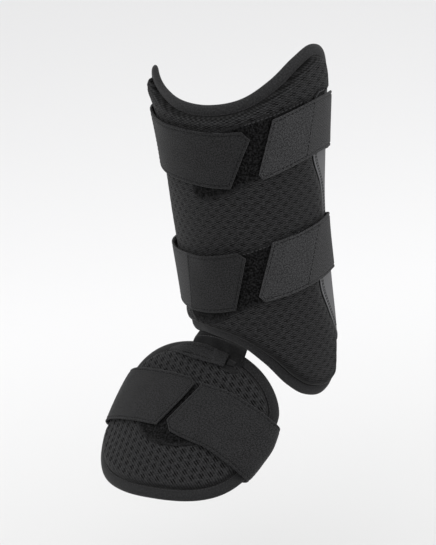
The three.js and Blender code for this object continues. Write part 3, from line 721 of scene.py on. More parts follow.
def loop_pile(name, level, loop_size=1.5, contrast=4.0, rim_share=0.5, depth=0.2):
    """Fuzzy pile of small loops, paler towards its rim."""
    finish = Finish(name, roughness=1.0, sheen=0.03)
    loops = finish.noise(finish.coordinates("Object"), loop_size)
    tone = loops * contrast + finish.attribute("rim") * rim_share - depth
    finish.set("Base Color", finish.tones(tone, level, dark=0.15, pale=2.4))
    finish.bump(loops, distance=0.9)
    return finish.material


def edging(name, level, sheen, knit_pitch=(1.2, 1.1), fuzz_size=1.1, contrast=4.0, knit_share=0.3,
           knit_relief=0.5, fuzz_relief=0.6):
    """Smooth knitted edging with a soft sheen."""
    finish = Finish(name, roughness=0.7, sheen=sheen)
    where = finish.coordinates()
    along, across, _ = finish.axes(where)
    knit = finish.wave(along, knit_pitch[0]) * finish.wave(across, knit_pitch[1])
    fuzz = finish.noise(where, fuzz_size)
    finish.set("Base Color", finish.tones(fuzz * contrast + knit * knit_share, level, dark=0.75, pale=1.25))
    finish.bump(knit * knit_relief + fuzz * fuzz_relief, distance=0.15)
    return finish.material


def side_weave(name, level, weave_pitch=1.4, fuzz_size=0.6, weave_share=0.4, fuzz_share=0.8, fuzz_relief=0.4,
               piping_highlight_level=1.12):
    """Grey plain weave, with a painted highlight that makes the piping along its seam paler."""
    finish = Finish(name, roughness=0.7, sheen=0.12)
    where = finish.coordinates()
    along, up, _ = finish.axes(where)
    weave = finish.wave(along, weave_pitch) * finish.wave(up, weave_pitch)
    fuzz = finish.noise(where, fuzz_size)
    cloth = finish.tones(weave * weave_share + fuzz * fuzz_share, level, dark=0.75, pale=1.2)
    # Painted highlight: the weave goes towards a paler grey along the piping's ridge.
    finish.set("Base Color", finish.mix(finish.attribute("piping"), cloth, grey(level * piping_highlight_level)))
    finish.bump(weave + fuzz * fuzz_relief, distance=0.15)
    return finish.material


def lining(name, level, knit_pitch=3.2, fuzz_size=0.7, fuzz_share=1.2, knit_share=0.2, knit_relief=0.7,
           fuzz_relief=0.5):
    """Brushed lining with a small diamond knit."""
    finish = Finish(name, roughness=0.9, sheen=0.1)
    where = finish.coordinates()
    along, up, _ = finish.axes(where)
    knit = finish.wave(along + up, knit_pitch) * finish.wave(along - up, knit_pitch)
    fuzz = finish.noise(where, fuzz_size)
    finish.set("Base Color", finish.tones(fuzz * fuzz_share + knit * knit_share, level, dark=0.8, pale=1.15))
    finish.bump(knit * knit_relief + fuzz * fuzz_relief, distance=0.25)
    return finish.material


def thread(name, level, twist_size=0.4):
    """Twisted sewing thread."""
    finish = Finish(name, roughness=0.6, sheen=0.1)
    twist = finish.noise(finish.coordinates("Object"), twist_size)
    finish.set("Base Color", finish.tones(twist, level, dark=0.7, pale=1.3))
    finish.bump(twist, distance=0.08)
    return finish.material


SHIN_MESH = spacer_mesh("shin_mesh", 43, brick_threads, web=0.62, depth=0.6)
FOOT_MESH = spacer_mesh("foot_mesh", 42, slanted_threads, web=0.42, depth=0.85)
LEFT_FELT = felt("left_tab_felt", 35)
RIGHT_FELT = felt("right_tab_felt", 50)
FOOT_FELT = felt("foot_strap_felt", 36)
ELASTIC = woven_elastic("ribbed_elastic", 50)
LOOP = loop_pile("loop_pile", 15)
SHIN_EDGING = edging("shin_edging", 40, sheen=0.08)
# The foot's edging is the shin's knit at a darker level, as painted shade where it turns down round the foot.
FOOT_EDGING_PAINTED_SHADE = edging("foot_edging", 35, sheen=0.12)
SIDE = side_weave("side_weave", 95)
LINING = lining("brushed_lining", 30)
CONNECTOR_CLOTH = edging("stretch_cloth", 28, sheen=0.12)
DARK_THREAD = thread("dark_thread", 8)
GREY_THREAD = thread("grey_thread", 48)
PALE_THREAD = thread("pale_thread", 66)


# Stitching

STITCH_LENGTH = 2.5
STITCH_PITCH = 3.3
STITCH_WIDTH = 0.9
STITCH_HEIGHT = 0.5
STITCH_STEPS = 60
STITCH_TILT = 1e-3
STITCH_REACH = 0.5


def stitch_shape():
    """One stitch: a low round-ended bead of thread along X."""
    bpy.ops.object.select_all(action="DESELECT")
    bpy.ops.mesh.primitive_uv_sphere_add(segments=6, ring_count=5, radius=0.5)
    bead = bpy.context.object
    points = points_of(bead)[:, (2, 1, 0)] * (1, 1, -1)
    faces = [list(face.vertices) for face in bead.data.polygons]
    bpy.data.objects.remove(bead)
    return points * (STITCH_LENGTH, STITCH_WIDTH, STITCH_HEIGHT), faces


STITCH = stitch_shape()


def stitch_row(surface, path, pitch=STITCH_PITCH, out=0.0):
    """Middles, directions and outward ways of stitches along a path of shares on a surface."""
    path = np.array(path, float)
    steps = np.linspace(0, len(path) - 1, STITCH_STEPS * (len(path) - 1) + 1)
    shares = resample(steps, np.arange(len(path)), path)
    line = surface(*shares.T, out)
    lengths = run_lengths(line)
    count = max(int(lengths[-1] / pitch), 1)
    places = (np.arange(count) + 0.5) * lengths[-1] / count
    u, w = resample(places, lengths, shares).T
    middle = surface(u, w, out)
    outward = np.cross(surface(u + STITCH_TILT, w, out) - middle, surface(u, w + STITCH_TILT, out) - middle)
    before, after = (resample(places + reach, lengths, line) for reach in (-STITCH_REACH, STITCH_REACH))
    return middle, after - before, outward


def sew(name, rows, material, slot, turned=False):
    """All the stitches of some rows as one piece."""
    shape, faces = STITCH
    points, polygons = [], []
    for middle, ahead, outward in rows:
        x = unit(ahead)
        y = unit(np.cross(outward * (-1 if turned else 1), x))
        z = np.cross(x, y)
        for i in range(len(middle)):
            start = len(points) * len(shape)
            points.append(middle[i] + shape @ np.stack([x[i], y[i], z[i]]))
            polygons += [[start + corner for corner in face] for face in faces]
    mesh = bpy.data.meshes.new(name)
    mesh.from_pydata((np.concatenate(points) * MM).tolist(), [], polygons)
    piece = bpy.data.objects.new(name, mesh)
    bpy.context.scene.collection.objects.link(piece)
    close_seams(piece)
    return finish_piece(piece, material, slot)


# Padded pieces

PAD_CROWN = 4.5
PAD_LIP = 3.35
PAD_STEP = 3.5
LINING_ROLL = 1.2
LINING_ROLL_WIDTH = 2.5
PANEL_LIP = BINDING_HEIGHT - BINDING_WALL
UNDERSIDE_STEP = 6
HOLE_EDGE = (0.5, 1.25)
HOLE_MARGIN = (1, 5)
FAR_FROM_HOLES = 9.0

# Painted shade along the mesh panels' rims: widths, where the lower one starts, and how much the horn has
# less
RIM_SHADE = 2.5
RIM_SHADE_FROM = 0.5
LOW_RIM_SHADE = 7.5
LOW_RIM_FROM = (60, 80)
HORN_SHADE_LESS = 0.9

# Cloth pressure that swells the linings, and the margin where they are held
PUFF_PRESSURE = 4
PUFF_FRAMES = 20
PUFF_CAP = 2.2
PUFF_MARGIN = (4, 14)


def shin_shade(points):
    """How far in from its rim painted shade darkens the shin's mesh: further along the lower edge."""
    rim = RIM_SHADE * (1 - HORN_SHADE_LESS * horn_share(points))
    return rim + LOW_RIM_SHADE * smooth_step(*LOW_RIM_FROM, -points[:, 1])


def foot_shade(points):
    return np.full(len(points), RIM_SHADE)


# Each pad with its surface, its heights, its mesh panel's rim, painted rim shade and weave, and its cloths
PADS = {
    "shin": {
        "outline": shin_outline, "wrap": on_shin,
        "pad_height": SHIN_PAD_HEIGHT, "mesh_height": SHIN_MESH_HEIGHT,
        "depth": shin_panel_depth, "rise": shin_panel_rise, "shade": shin_shade,
        "pitch": 8.0, "row": 4.8, "hole": (2.2, 1.5), "hollow": 0.3, "cell": (8 / 12, 4.8 / 7),
        "order": (0, 1), "mesh": SHIN_MESH, "edging": SHIN_EDGING,
    },
    "foot": {
        "outline": foot_outline, "wrap": on_foot,
        "pad_height": FOOT_PAD_HEIGHT, "mesh_height": FOOT_MESH_HEIGHT,
        "depth": foot_panel_depth, "rise": foot_panel_rise, "shade": foot_shade,
        "pitch": 6.6, "row": 6.5, "hole": (2.4, 2.2), "hollow": 0.5, "cell": (0.65, 0.66),
        "order": (1, 0), "mesh": FOOT_MESH, "edging": FOOT_EDGING_PAINTED_SHADE,
    },
}


def panel_height(depth, height):
    """Outer face of a mesh panel: a rounded shoulder up from the binding, then level."""
    lip = PANEL_LIP + GAP
    rise = np.clip(1 - depth / SHOULDER, 0, 1) ** SHOULDER_ROUND
    return lip + (height - lip) * (1 - rise) ** (1 / SHOULDER_ROUND)


def hole_share(points, pad):
    """How far inside a hole of the mesh each point lies: rows of holes, every other row shifted by half."""
    pitch, row_step, hole = pad["pitch"], pad["row"], pad["hole"]
    x, y = points[:, pad["order"]].T
    nearest = np.full(len(points), FAR_FROM_HOLES)
    for shift in (-1, 0, 1):
        row = np.round(y / row_step) + shift
        across = x - (row % 2) * pitch / 2
        dx = across - np.round(across / pitch) * pitch
        nearest = np.minimum(nearest, np.hypot(dx / hole[0], (y - row * row_step) / hole[1]))
    return 1 - smooth_step(*HOLE_EDGE, nearest)


def of_kind(items, kind):
    return [item for item in items if isinstance(item, kind)]


def close_underside(piece, depth_of, lip, floor):
    """Turns a panel's rim under, down to the lip and in to the floor, and closes it below."""
    shell = bmesh.new()
    shell.from_mesh(piece.data)
    rim = [edge for edge in shell.edges if edge.is_boundary]
    for inset, height in ((0.0, lip), (PAD_CROWN, floor)):
        made = bmesh.ops.extrude_edge_only(shell, edges=rim)["geom"]
        corners = of_kind(made, bmesh.types.BMVert)
        places = np.array([corner.co for corner in corners])
        inward = depth_of(places[:, :2])[1]
        for corner, place, way in zip(corners, places, inward):
            corner.co = (*(place[:2] + way * inset), height)
        rim = [edge for edge in of_kind(made, bmesh.types.BMEdge) if edge.is_boundary]
    below = bmesh.ops.triangle_fill(shell, edges=rim, use_beauty=False)["geom"]
    faces = of_kind(below, bmesh.types.BMFace)
    spread = np.array([vert.co for face in faces for vert in face.verts])
    for axis in (0, 1):
        normal = Vector((1 - axis, axis, 0))
        for cut in np.arange(spread[:, axis].min() + UNDERSIDE_STEP, spread[:, axis].max(), UNDERSIDE_STEP):
            geometry = faces + list({edge for face in faces for edge in face.edges})
            geometry += list({vert for face in faces for vert in face.verts})
            split = bmesh.ops.bisect_plane(shell, geom=geometry, plane_co=normal * cut, plane_no=normal)
            faces = of_kind(split["geom"], bmesh.types.BMFace)
    shell.to_mesh(piece.data)
    shell.free()


def mesh_panel(name, pad):
    """Spacer mesh panel with real holes, made flat and wrapped on its pad."""
    piece = cut_cloth(name, pad["depth"], pad["outline"], PANEL_INSET, pad["cell"])
    points = points_of(piece)
    depth = pad["depth"](points[:, :2])[0]
    hole = hole_share(points, pad) * smooth_step(*HOLE_MARGIN, depth)
    points[:, 2] = panel_height(pad["rise"](points[:, :2]), pad["mesh_height"]) - pad["hollow"] * hole
    move_points(piece, points)
    # The hole and rim shares darken the mesh's colour as painted shade in the hollows and along the binding.
    store_share(piece, "hole", hole)
    store_share(piece, "rim", 1 - smooth_step(0, 1, (depth - RIM_SHADE_FROM) / pad["shade"](points[:, :2])))
    close_underside(piece, pad["depth"], PANEL_LIP + GAP / 2, pad["pad_height"] + GAP)
    flat = points_of(piece)
    lay_pattern(piece, flat)
    move_points(piece, pad["wrap"](flat) * MM)
    close_seams(piece)
    finish_piece(piece, pad["mesh"], "spacer_mesh", name)


def fill_with_foam(piece, freedom):
    """Swells a pad by cloth pressure where its points are free to move."""
    rest = points_of(piece)
    held = piece.vertex_groups.new(name="held")
    for i, share in enumerate(freedom):
        held.add([i], float(1 - share), "REPLACE")
    alone(piece)
    cloth = piece.modifiers.new("foam", "CLOTH")
    cloth.settings.use_pressure = True
    cloth.settings.uniform_pressure_force = PUFF_PRESSURE
    cloth.settings.vertex_group_mass = "held"
    cloth.settings.effector_weights.gravity = 0
    for step in range(1, PUFF_FRAMES + 1):
        bpy.context.scene.frame_set(step)
    bpy.ops.object.modifier_apply(modifier=cloth.name)
    bpy.context.scene.frame_set(1)
    moved = points_of(piece) - rest
    length = np.linalg.norm(moved, axis=1)
    moved *= np.minimum(1, PUFF_CAP * MM * freedom / np.maximum(length, SMALL * MM))[:, None]
    move_points(piece, rest + moved)
    piece.vertex_groups.clear()


def lined_pad(name, pad):
    """Foam pad with a soft lining on its inner face."""
    def depth_of(points):
        return pad["outline"].depth(points, LINING_INSET)

    piece = cut_cloth(name, depth_of, pad["outline"], LINING_INSET, PAD_STEP)
    thicken(piece, 1 / MM, True)
    flat = points_of(piece)
    top = flat[:, 2] > 0.5
    depth = np.maximum(depth_of(flat[:, :2])[0], 0)
    crown = np.maximum(pad["depth"](flat[:, :2])[0], 0)
    rise = 1 - np.clip(1 - crown / PAD_CROWN, 0, 1) ** 2
    outer = PAD_LIP + (pad["pad_height"] - PAD_LIP) * rise
    flat[:, 2] = np.where(top, outer, LINING_ROLL * (1 - smooth_step(0, LINING_ROLL_WIDTH, depth)))
    lay_pattern(piece, flat)
    move_points(piece, pad["wrap"](flat) * MM)
    close_seams(piece)
    fill_with_foam(piece, np.where(top, 0, smooth_step(*PUFF_MARGIN, depth)))
    modify(piece, "SUBSURF", levels=1, render_levels=1)
    finish_piece(piece, LINING, "pad_lining", name)


# Edging folded round a pad's edge: depths in from the edge and heights, from its front's inner edge round
BINDING_SECTION = table("place depth height", [
    (0, 9.0, 4.0), (1, 8.3, 4.75), (2, 6.2, 5.35), (3, 3.8, 5.4), (4, 1.6, 4.7), (5, 0.2, 3.2), (6, 0.2, 1.7),
    (7, 1.6, 0.5), (8, 3.8, 0.05), (9, 6.2, 0.0), (10, 8.6, 0.05), (11, 9.0, 0.6), (12, 9.0, 4.0),
])
BINDING_ROWS = 36
BINDING_STEP = 2
BINDING_STITCH = {"depth": 7.6, "height": 5.0, "pitch": 3.0, "turns": 60}


def bound_edge(name, pad):
    """Puffy edging swept along the whole edge of a pad, and the stitches along it."""
    outline = pad["outline"]
    piece = flat_cloth(name, int(outline.length / BINDING_STEP), BINDING_ROWS)
    shares = points_of(piece)
    place = shares[:, 1] * BINDING_SECTION["place"][-1]

    def at(share, depth, height):
        edge, inward = outline.at(share)
        return pad["wrap"](np.column_stack([edge + inward * depth[:, None], height]))

    def stitch_line(u, w, out=0.0):
        return at(u, BINDING_STITCH["depth"] - w, np.full(len(u), BINDING_STITCH["height"] + out))

    lay_pattern(piece, shares * (outline.length, 2 * BINDING_WIDTH + BINDING_HEIGHT, 0))
    depth, height = (read(BINDING_SECTION, place, column) for column in ("depth", "height"))
    move_points(piece, at(shares[:, 0], depth, height) * MM)
    close_seams(piece)
    finish_piece(piece, pad["edging"], "binding", name)
    path = [(share, 0) for share in np.linspace(0, 1, BINDING_STITCH["turns"])]
    row = stitch_row(stitch_line, path, BINDING_STITCH["pitch"])
    sew(f"{name}_stitching", [row], GREY_THREAD, "binding", pad["wrap"] is on_foot)


for kind, make in (("mesh_panel", mesh_panel), ("pad", lined_pad), ("binding", bound_edge)):
    for pad_name, pad_rows in PADS.items():
        make(f"{pad_name}_{kind}", pad_rows)


# Straps

STRAP_CELL = (1.15, 1.05)
STRAP_HEIGHTS = table("turn height", [
    (20, 14.0), (74, 13.9), (81, 13.2), (87, 11.2), (92, 8.4), (110, 8.4),
    (270, 8.4), (278, 8.6), (286, 11.2), (293, 13.2), (302, 14.0), (390, 14.0),
])
STRAP_REAR_DEPTH = 7
STRAP_REAR_ACROSS = 5.3
STRAP_REAR_ALONG = 0.4
SEAM_GAP = 0.03
SEAM_REST = 0.05
SEAM_ENDS = (0.04, 0.96)
HEM = 2.6
HEM_SPREAD = 0.55
HEM_GROOVE = 0.55
HEM_STITCH = -0.45
UNHEMMED = 0.01
CUT_EDGE = 0.9
CUT_ROUND = 0.45
EASE = 0.085
TAB_SEAM = 1.2
TAB_STANDOFF = 3
TAB_WAVE = 0.12
ELASTIC_WAVE = 0.06
LENGTH_STEPS = 4000
SIZE_STEPS = 200
SHEET_STEPS = 81

# Ranges where a tab stands off, and of turns where a strap is tucked in and where it swells
STANDOFF_ACROSS = (0.5, 1)
STANDOFF_ALONG = (0, 0.4)
TUCK = {"rise": (83, 94), "fall": (122, 222)}
SWELL = {"rise": (265, 290), "fall": (316, 350)}

# Slow waves of hand-sewn cloth
RIPPLES = table("along across phase share", [(7.1, 2.3, 0, 0.625), (-9.7, 4.3, 1.2, 0.375)])

CALF_STRAPS = {
    "upper": {
        "tuck": 1.2,
        "swell": 0,
        "line": table("turn middle width", [
            (28, 64.5, 44.5), (60, 74.3, 44), (80, 76.5, 44), (94, 72, 44), (115, 67, 44.5), (142, 61, 45),
            (180, 53, 46), (218, 49, 46), (245, 53, 46), (261, 59.5, 46), (285, 65.5, 46.5),
            (320, 65.4, 46.5), (340, 64.3, 46.5), (360, 62.0, 46.5), (386, 61.0, 47),
        ]),
        "right_end": table("across turn", [(0, 31.9), (0.12, 29), (1, 39.1)]),
        "right_seam": table("across turn", [(0, 61.5), (1, 68)]),
        "left_seam": table("across turn", [(0, 302), (1, 304)]),
        "left_end": table("across turn", [(0, 371.2), (0.85, 385.4), (1, 381.1)]),
    },
    "lower": {
        "tuck": 3.6,
        "swell": 0.7,
        "line": table("turn middle width", [
            (21, -34.6, 47), (35, -32.2, 47), (52, -29.3, 46.5), (70, -25.8, 46.5), (82, -23.5, 46.5),
            (94, -28, 46.5), (115, -32, 47), (142, -35, 47.5), (180, -39, 48), (218, -43, 48),
            (245, -46, 48.5), (267, -47.5, 49), (325, -45.4, 50), (348, -43, 49.5), (364, -39.6, 48.5),
            (378, -37.3, 49),
        ]),
        "right_end": table("across turn", [(0, 25.6), (0.12, 21.5), (1, 35)]),
        "right_seam": table("across turn", [(0, 56), (1, 72)]),
        "left_seam": table("across turn", [(0, 325), (1, 330.5)]),
        "left_end": table("across turn", [(0, 364.8), (0.88, 377.1), (1, 371.7)]),
    },
}


def calf_point(turn, z, height):
    """Point of a calf strap: round the shin in front, nearly straight across behind."""
    facing, sine = np.cos(turn * DEG), np.sin(turn * DEG)
    radius, side, front = shin_section(z)
    behind = np.maximum(1 - np.abs(sine) ** STRAP_REAR_ACROSS, 0) ** STRAP_REAR_ALONG
    x = side + (radius + height) * sine
    y = front + radius + (STRAP_REAR_DEPTH + height) * behind
    rear = np.stack(np.broadcast_arrays(x, y, z), -1)
    return np.where((facing >= 0)[..., None], shin_point(turn, z, height), rear)


def turn_between(start, end, u, w):
    """Turn at a share of the way from one cut end of a strap to another."""
    return from_ends([np.interp(w, cut["across"], cut["turn"]) for cut in (start, end)], u)


def along_line(line, turn, w):
    """Place of a point across a strap whose middle and width follow a line."""
    return read(line, turn, "middle") + (w - 0.5) * read(line, turn, "width")


def shifted(cut, by):
    return {"across": cut["across"], "turn": cut["turn"] + by}


def calf_surface(strap, start, end, standoff=0.0):
    """Outer face of one stretch of a calf strap, by shares along and across it."""
    def place(u, w, out=0.0):
        turn = turn_between(start, end, u, w)
        height = read(STRAP_HEIGHTS, turn, "height") + STRAP_THICKNESS + out
        height = height + standoff * smooth_step(*STANDOFF_ACROSS, w) * smooth_step(*STANDOFF_ALONG, u)
        height = height - strap["tuck"] * hump(**TUCK, value=turn)
        height = height + strap["swell"] * hump(**SWELL, value=turn)
        return calf_point(turn, along_line(strap["line"], turn, w), height)
    return place


def eased(share):
    """Shares drawn towards both ends, for finer cloth at the hems."""
    return share - EASE * np.sin(2 * math.pi * share)


def ripple(u, w, size):
    """Slow unevenness of hand-sewn cloth."""
    along, across, phase, share = (column[:, None] for column in RIPPLES.values())
    return size * (share * np.sin(along * u + across * w + phase)).sum(axis=0)


def edge_distance(u, w, length, width, hems=("start", "end")):
    """Distance of points of a strip of cloth from its nearest side or hemmed end."""
    edges = [w * width, (1 - w) * width]
    edges += [u * length] if "start" in hems else []
    edges += [(1 - u) * length] if "end" in hems else []
    return np.min(edges, axis=0)


def share_along(place, run):
    """Shares of a strap's turn at even shares of its length."""
    share = np.linspace(0, 1, LENGTH_STEPS)
    lengths = run_lengths(place(share, np.full(LENGTH_STEPS, 0.5)))
    return np.interp(run, lengths / lengths[-1], share)


def stretch_size(place):
    """Length and width of a stretch of strap along its middle lines."""
    share, middle = np.linspace(0, 1, SIZE_STEPS), np.full(SIZE_STEPS, 0.5)
    return [run_lengths(line)[-1] for line in (place(share, middle), place(middle, share))]


def strap_cloth(name, place, hems, material, slot, wave, turned=False):
    """One stretch of strap with a stitched-down hem along its edges and at its hemmed ends."""
    length, width = stretch_size(place)
    piece = flat_cloth(name, round(length / STRAP_CELL[0]), round(width / STRAP_CELL[1]))
    run, w = eased(shares_of(piece))
    u = share_along(place, run)
    depth = edge_distance(run, w, length, width, hems)
    out = ripple(u, w, wave) - HEM_GROOVE * ridge(depth, HEM, HEM_SPREAD)
    out = out - CUT_ROUND * np.clip(1 - depth / CUT_EDGE, 0, 1) ** 2
    flat = np.stack([run * length, w * width], -1)
    lay_cloth(piece, flat, place(u, w, out), STRAP_THICKNESS, material, slot, name, turned)


def declare_sheet(place):
    share = np.linspace(0, 1, SHEET_STEPS)
    u, w = (values.ravel() for values in np.meshgrid(share, share))
    face = place(u, w).reshape(SHEET_STEPS, SHEET_STEPS, 3) * MM


def hem_rows(place, hems):
    """Stitch rows along the hems of a strap's stretch, in their grooves."""
    length, width = stretch_size(place)
    u0 = HEM / length if "start" in hems else UNHEMMED
    u1 = 1 - (HEM / length if "end" in hems else UNHEMMED)
    w0, w1 = HEM / width, 1 - HEM / width
    paths = [[(u0, w0), (u1, w0)], [(u0, w1), (u1, w1)]]
    paths += [[(u0, w0), (u0, w1)]] if "start" in hems else []
    paths += [[(u1, w0), (u1, w1)]] if "end" in hems else []
    return [stitch_row(place, path, out=HEM_STITCH) for path in paths]


def calf_strap(name, strap):
    """A calf strap: felt tabs in front, sewn to a loop of elastic round the back."""
    right_seam, left_seam = strap["right_seam"], strap["left_seam"]
    tabs = (
        ("right", calf_surface(strap, strap["right_end"], right_seam), "start", RIGHT_FELT),
        ("left", calf_surface(strap, left_seam, strap["left_end"], TAB_STANDOFF), "end", LEFT_FELT),
    )
    for side, place, hem, cloth in tabs:
        node, slot = f"{name}_{side}_tab", f"{side}_tab_fabric"
        strap_cloth(node, place, (hem,), cloth, slot, TAB_WAVE)
        from_seam = TAB_SEAM / stretch_size(place)[0]
        seam = from_seam if hem == "end" else 1 - from_seam
        rows = hem_rows(place, (hem,)) + [stitch_row(place, [(seam, w) for w in SEAM_ENDS], out=SEAM_REST)]
        sew(f"{node}_stitching", rows, DARK_THREAD, slot)
    elastic = calf_surface(strap, shifted(right_seam, SEAM_GAP), shifted(left_seam, -SEAM_GAP))
    strap_cloth(f"{name}_elastic", elastic, (), ELASTIC, "elastic", ELASTIC_WAVE)


for strap_name, strap_rows in CALF_STRAPS.items():
    calf_strap(strap_name, strap_rows)


# Loop patches under the strap ends

LOOP_PATCHES = {
    "upper": table("angle low high", [
        (-17, 27, 79), (-4, 28, 82), (6, 31.8, 84.5), (12, 35.5, 86), (27, 43, 91), (45, 51, 95.7),
        (61.5, 58, 100),
    ]),
    "lower": table("angle low high", [
        (-39, -81.5, -31), (-17, -78, -25), (-5, -72.5, -21.5), (2, -68, -19), (20, -60, -14), (40, -51, -8),
        (61.5, -45, -2),
    ]),
}
PATCH_CELL = 1.2
PATCH_CLOTH = 0.6
PATCH_CORNER = 9
PATCH_STITCH_INSET = 1.6
PATCH_STITCH_ENDS = (0.5, 0.97)
PILE_ROUGHNESS = 0.45
PILE_SIZE = 2.2
PILE_RIM = 4
PILE_EDGE = 1.2
PILE_EDGE_DROP = 0.5
RAGGED = {"size": 3.0, "reach": 1.5, "depth": 2.5, "layer": 9}


def pile(flat, size, layer=0):
    """Uneven height of loop pile at flat points."""
    return np.array([noise.noise(Vector((x, y, layer)) / size) for x, y in flat])


def pile_height(flat, edge):
    """Height of a patch of loop pile: uneven, and lower at its edge."""
    drop = PILE_EDGE_DROP * np.clip(1 - edge / PILE_EDGE, 0, 1)
    return GAP + PATCH_THICKNESS - drop + PILE_ROUGHNESS * pile(flat, PILE_SIZE)


def loop_patch(name, rows):
    """Fuzzy field wrapped on the mesh panel, its left corners rounded and its upper edge stitched."""
    length = (rows["angle"][-1] - rows["angle"][0]) * DEG * (SHIN_ARC + SHIN_MESH_HEIGHT)
    width = np.mean(rows["high"] - rows["low"])
    piece = flat_cloth(name, round(length / PATCH_CELL), round(width / PATCH_CELL))
    u, w = eased(shares_of(piece))
    angle = from_ends(rows["angle"], u)
    corner = PATCH_CORNER * (1 - np.sqrt(1 - np.clip(1 - u * length / PATCH_CORNER, 0, 1) ** 2))
    low, high = read(rows, angle, "low") + corner, read(rows, angle, "high") - corner
    edge = edge_distance(u, w, length, width)
    flat = np.stack([u * length, w * width], -1)
    ragged = pile(flat, RAGGED["size"], RAGGED["layer"]) * np.clip(1 - edge / RAGGED["depth"], 0, 1)
    z = low + (high - low) * w + RAGGED["reach"] * ragged
    points = shin_point(angle, z, SHIN_MESH_HEIGHT + pile_height(flat, edge))
    store_share(piece, "rim", 1 - smooth_step(0, PILE_RIM, edge))
    lay_cloth(piece, flat, points, PATCH_CLOTH, LOOP, "loop_fabric", name)

    def upper_edge(u, w, out=0.0):
        angle = from_ends(rows["angle"], u)
        z = read(rows, angle, "high") - PATCH_STITCH_INSET + w
        return shin_point(angle, z, SHIN_MESH_HEIGHT + GAP + PATCH_THICKNESS + out)

    row = stitch_row(upper_edge, [(u, 0) for u in PATCH_STITCH_ENDS])
    sew(f"{name}_stitching", [row], GREY_THREAD, "loop_fabric")


for patch_name, patch in LOOP_PATCHES.items():
    loop_patch(f"{patch_name}_loop_patch", patch)


# Small anchor patch beside the upper strap

ANCHOR = {
    "angles": (68, 78), "chamfer": 4, "low": 57, "high": 102.5, "thickness": 0.6, "below_strap": 1.5 * GAP,
    "cells": (16, 60), "size": (12, 43), "pitch": 2.4,
    "stitches": ((0.1, 0.5), (0.1, 0.93), (0.45, 0.965), (0.95, 0.965)),
}


def anchor_place(u, w, out=0.0):
    """Outer face of the anchor patch, its upper left corner cut off."""
    angle = from_ends(ANCHOR["angles"], u)
    corner = np.maximum(ANCHOR["chamfer"] - (angle - ANCHOR["angles"][0]), 0)
    z = ANCHOR["low"] + (ANCHOR["high"] - corner - ANCHOR["low"]) * w
    return shin_point(angle, z, read(STRAP_HEIGHTS, angle, "height") - ANCHOR["below_strap"] + out)


def anchor_patch(name):
    piece = flat_cloth(name, *ANCHOR["cells"])
    u, w = shares_of(piece)
    flat = np.stack([u, w], -1) * ANCHOR["size"]
    store_share(piece, "rim", np.ones(len(u)))
    lay_cloth(piece, flat, anchor_place(u, w), ANCHOR["thickness"], LOOP, "loop_fabric", name)
    row = stitch_row(anchor_place, ANCHOR["stitches"], ANCHOR["pitch"])
    sew("upper_anchor_stitching", [row], PALE_THREAD, "loop_fabric")


anchor_patch("upper_anchor_patch")


# Woven panel on the shin's right edge

SIDE_CELLS = (26, 190)
SIDE_EASE = 1.3
SIDE_LEAST = 0.4
SIDE_ROLL = {"drop": 1.3, "width": 3.5}
PIPING = {"at": 0.9, "spread": 0.7}
PIPING_RISE = 0.55
PIPING_PAINTED_HIGHLIGHT = 0.8
SIDE_GROOVE = {"at": 2.6, "spread": 0.6}
SIDE_GROOVE_DEPTH = 0.2
SIDE_STITCH = {"offsets": (2.6, 4.2), "ends": (0.06, 0.94), "steps": 60, "room": 5.5, "pitch": 2.8}


def side_place(u, w, out=0.0):
    """Outer face of the side panel: along from the seam to the edge, and up."""
    z = from_ends(SIDE_SEAM["z"], w)
    inner = np.minimum(seam_along(z) + GAP, SIDE_EDGE - SIDE_LEAST)
    along = inner + (SIDE_EDGE - inner) * u
    drop = SIDE_ROLL["drop"] * np.clip(1 - (SIDE_EDGE - along) / SIDE_ROLL["width"], 0, 1) ** 2
    return shin_point(along / ROUND, z, BINDING_HEIGHT + GAP + SIDE_PANEL_THICKNESS - drop + out)


def side_panel(name):
    """Woven panel with a round piping along its seam and two rows of stitches beside it."""
    piece = flat_cloth(name, *SIDE_CELLS)
    u, w = shares_of(piece)
    u = u ** SIDE_EASE
    z = from_ends(SIDE_SEAM["z"], w)
    across = (SIDE_EDGE - seam_along(z)) * u
    piping = ridge(across, **PIPING)
    out = PIPING_RISE * piping - SIDE_GROOVE_DEPTH * ridge(across, **SIDE_GROOVE)
    # The piping share also paints a highlight along the ridge into the weave's colour.
    store_share(piece, "piping", piping * PIPING_PAINTED_HIGHLIGHT)
    flat = np.stack([across, z], -1)
    lay_cloth(piece, flat, side_place(u, w, out), SIDE_PANEL_THICKNESS, SIDE, "side_weave", name)
    declare_sheet(side_place)
    w = np.linspace(*SIDE_STITCH["ends"], SIDE_STITCH["steps"])
    room = SIDE_EDGE - seam_along(from_ends(SIDE_SEAM["z"], w))
    wide = room > SIDE_STITCH["room"]
    paths = [np.stack([offset / room, w], -1)[wide] for offset in SIDE_STITCH["offsets"]]
    rows = [stitch_row(side_place, path, SIDE_STITCH["pitch"]) for path in paths]
    sew(f"{name}_stitching", rows, DARK_THREAD, "side_weave")


side_panel("side_panel")


# Foot strap

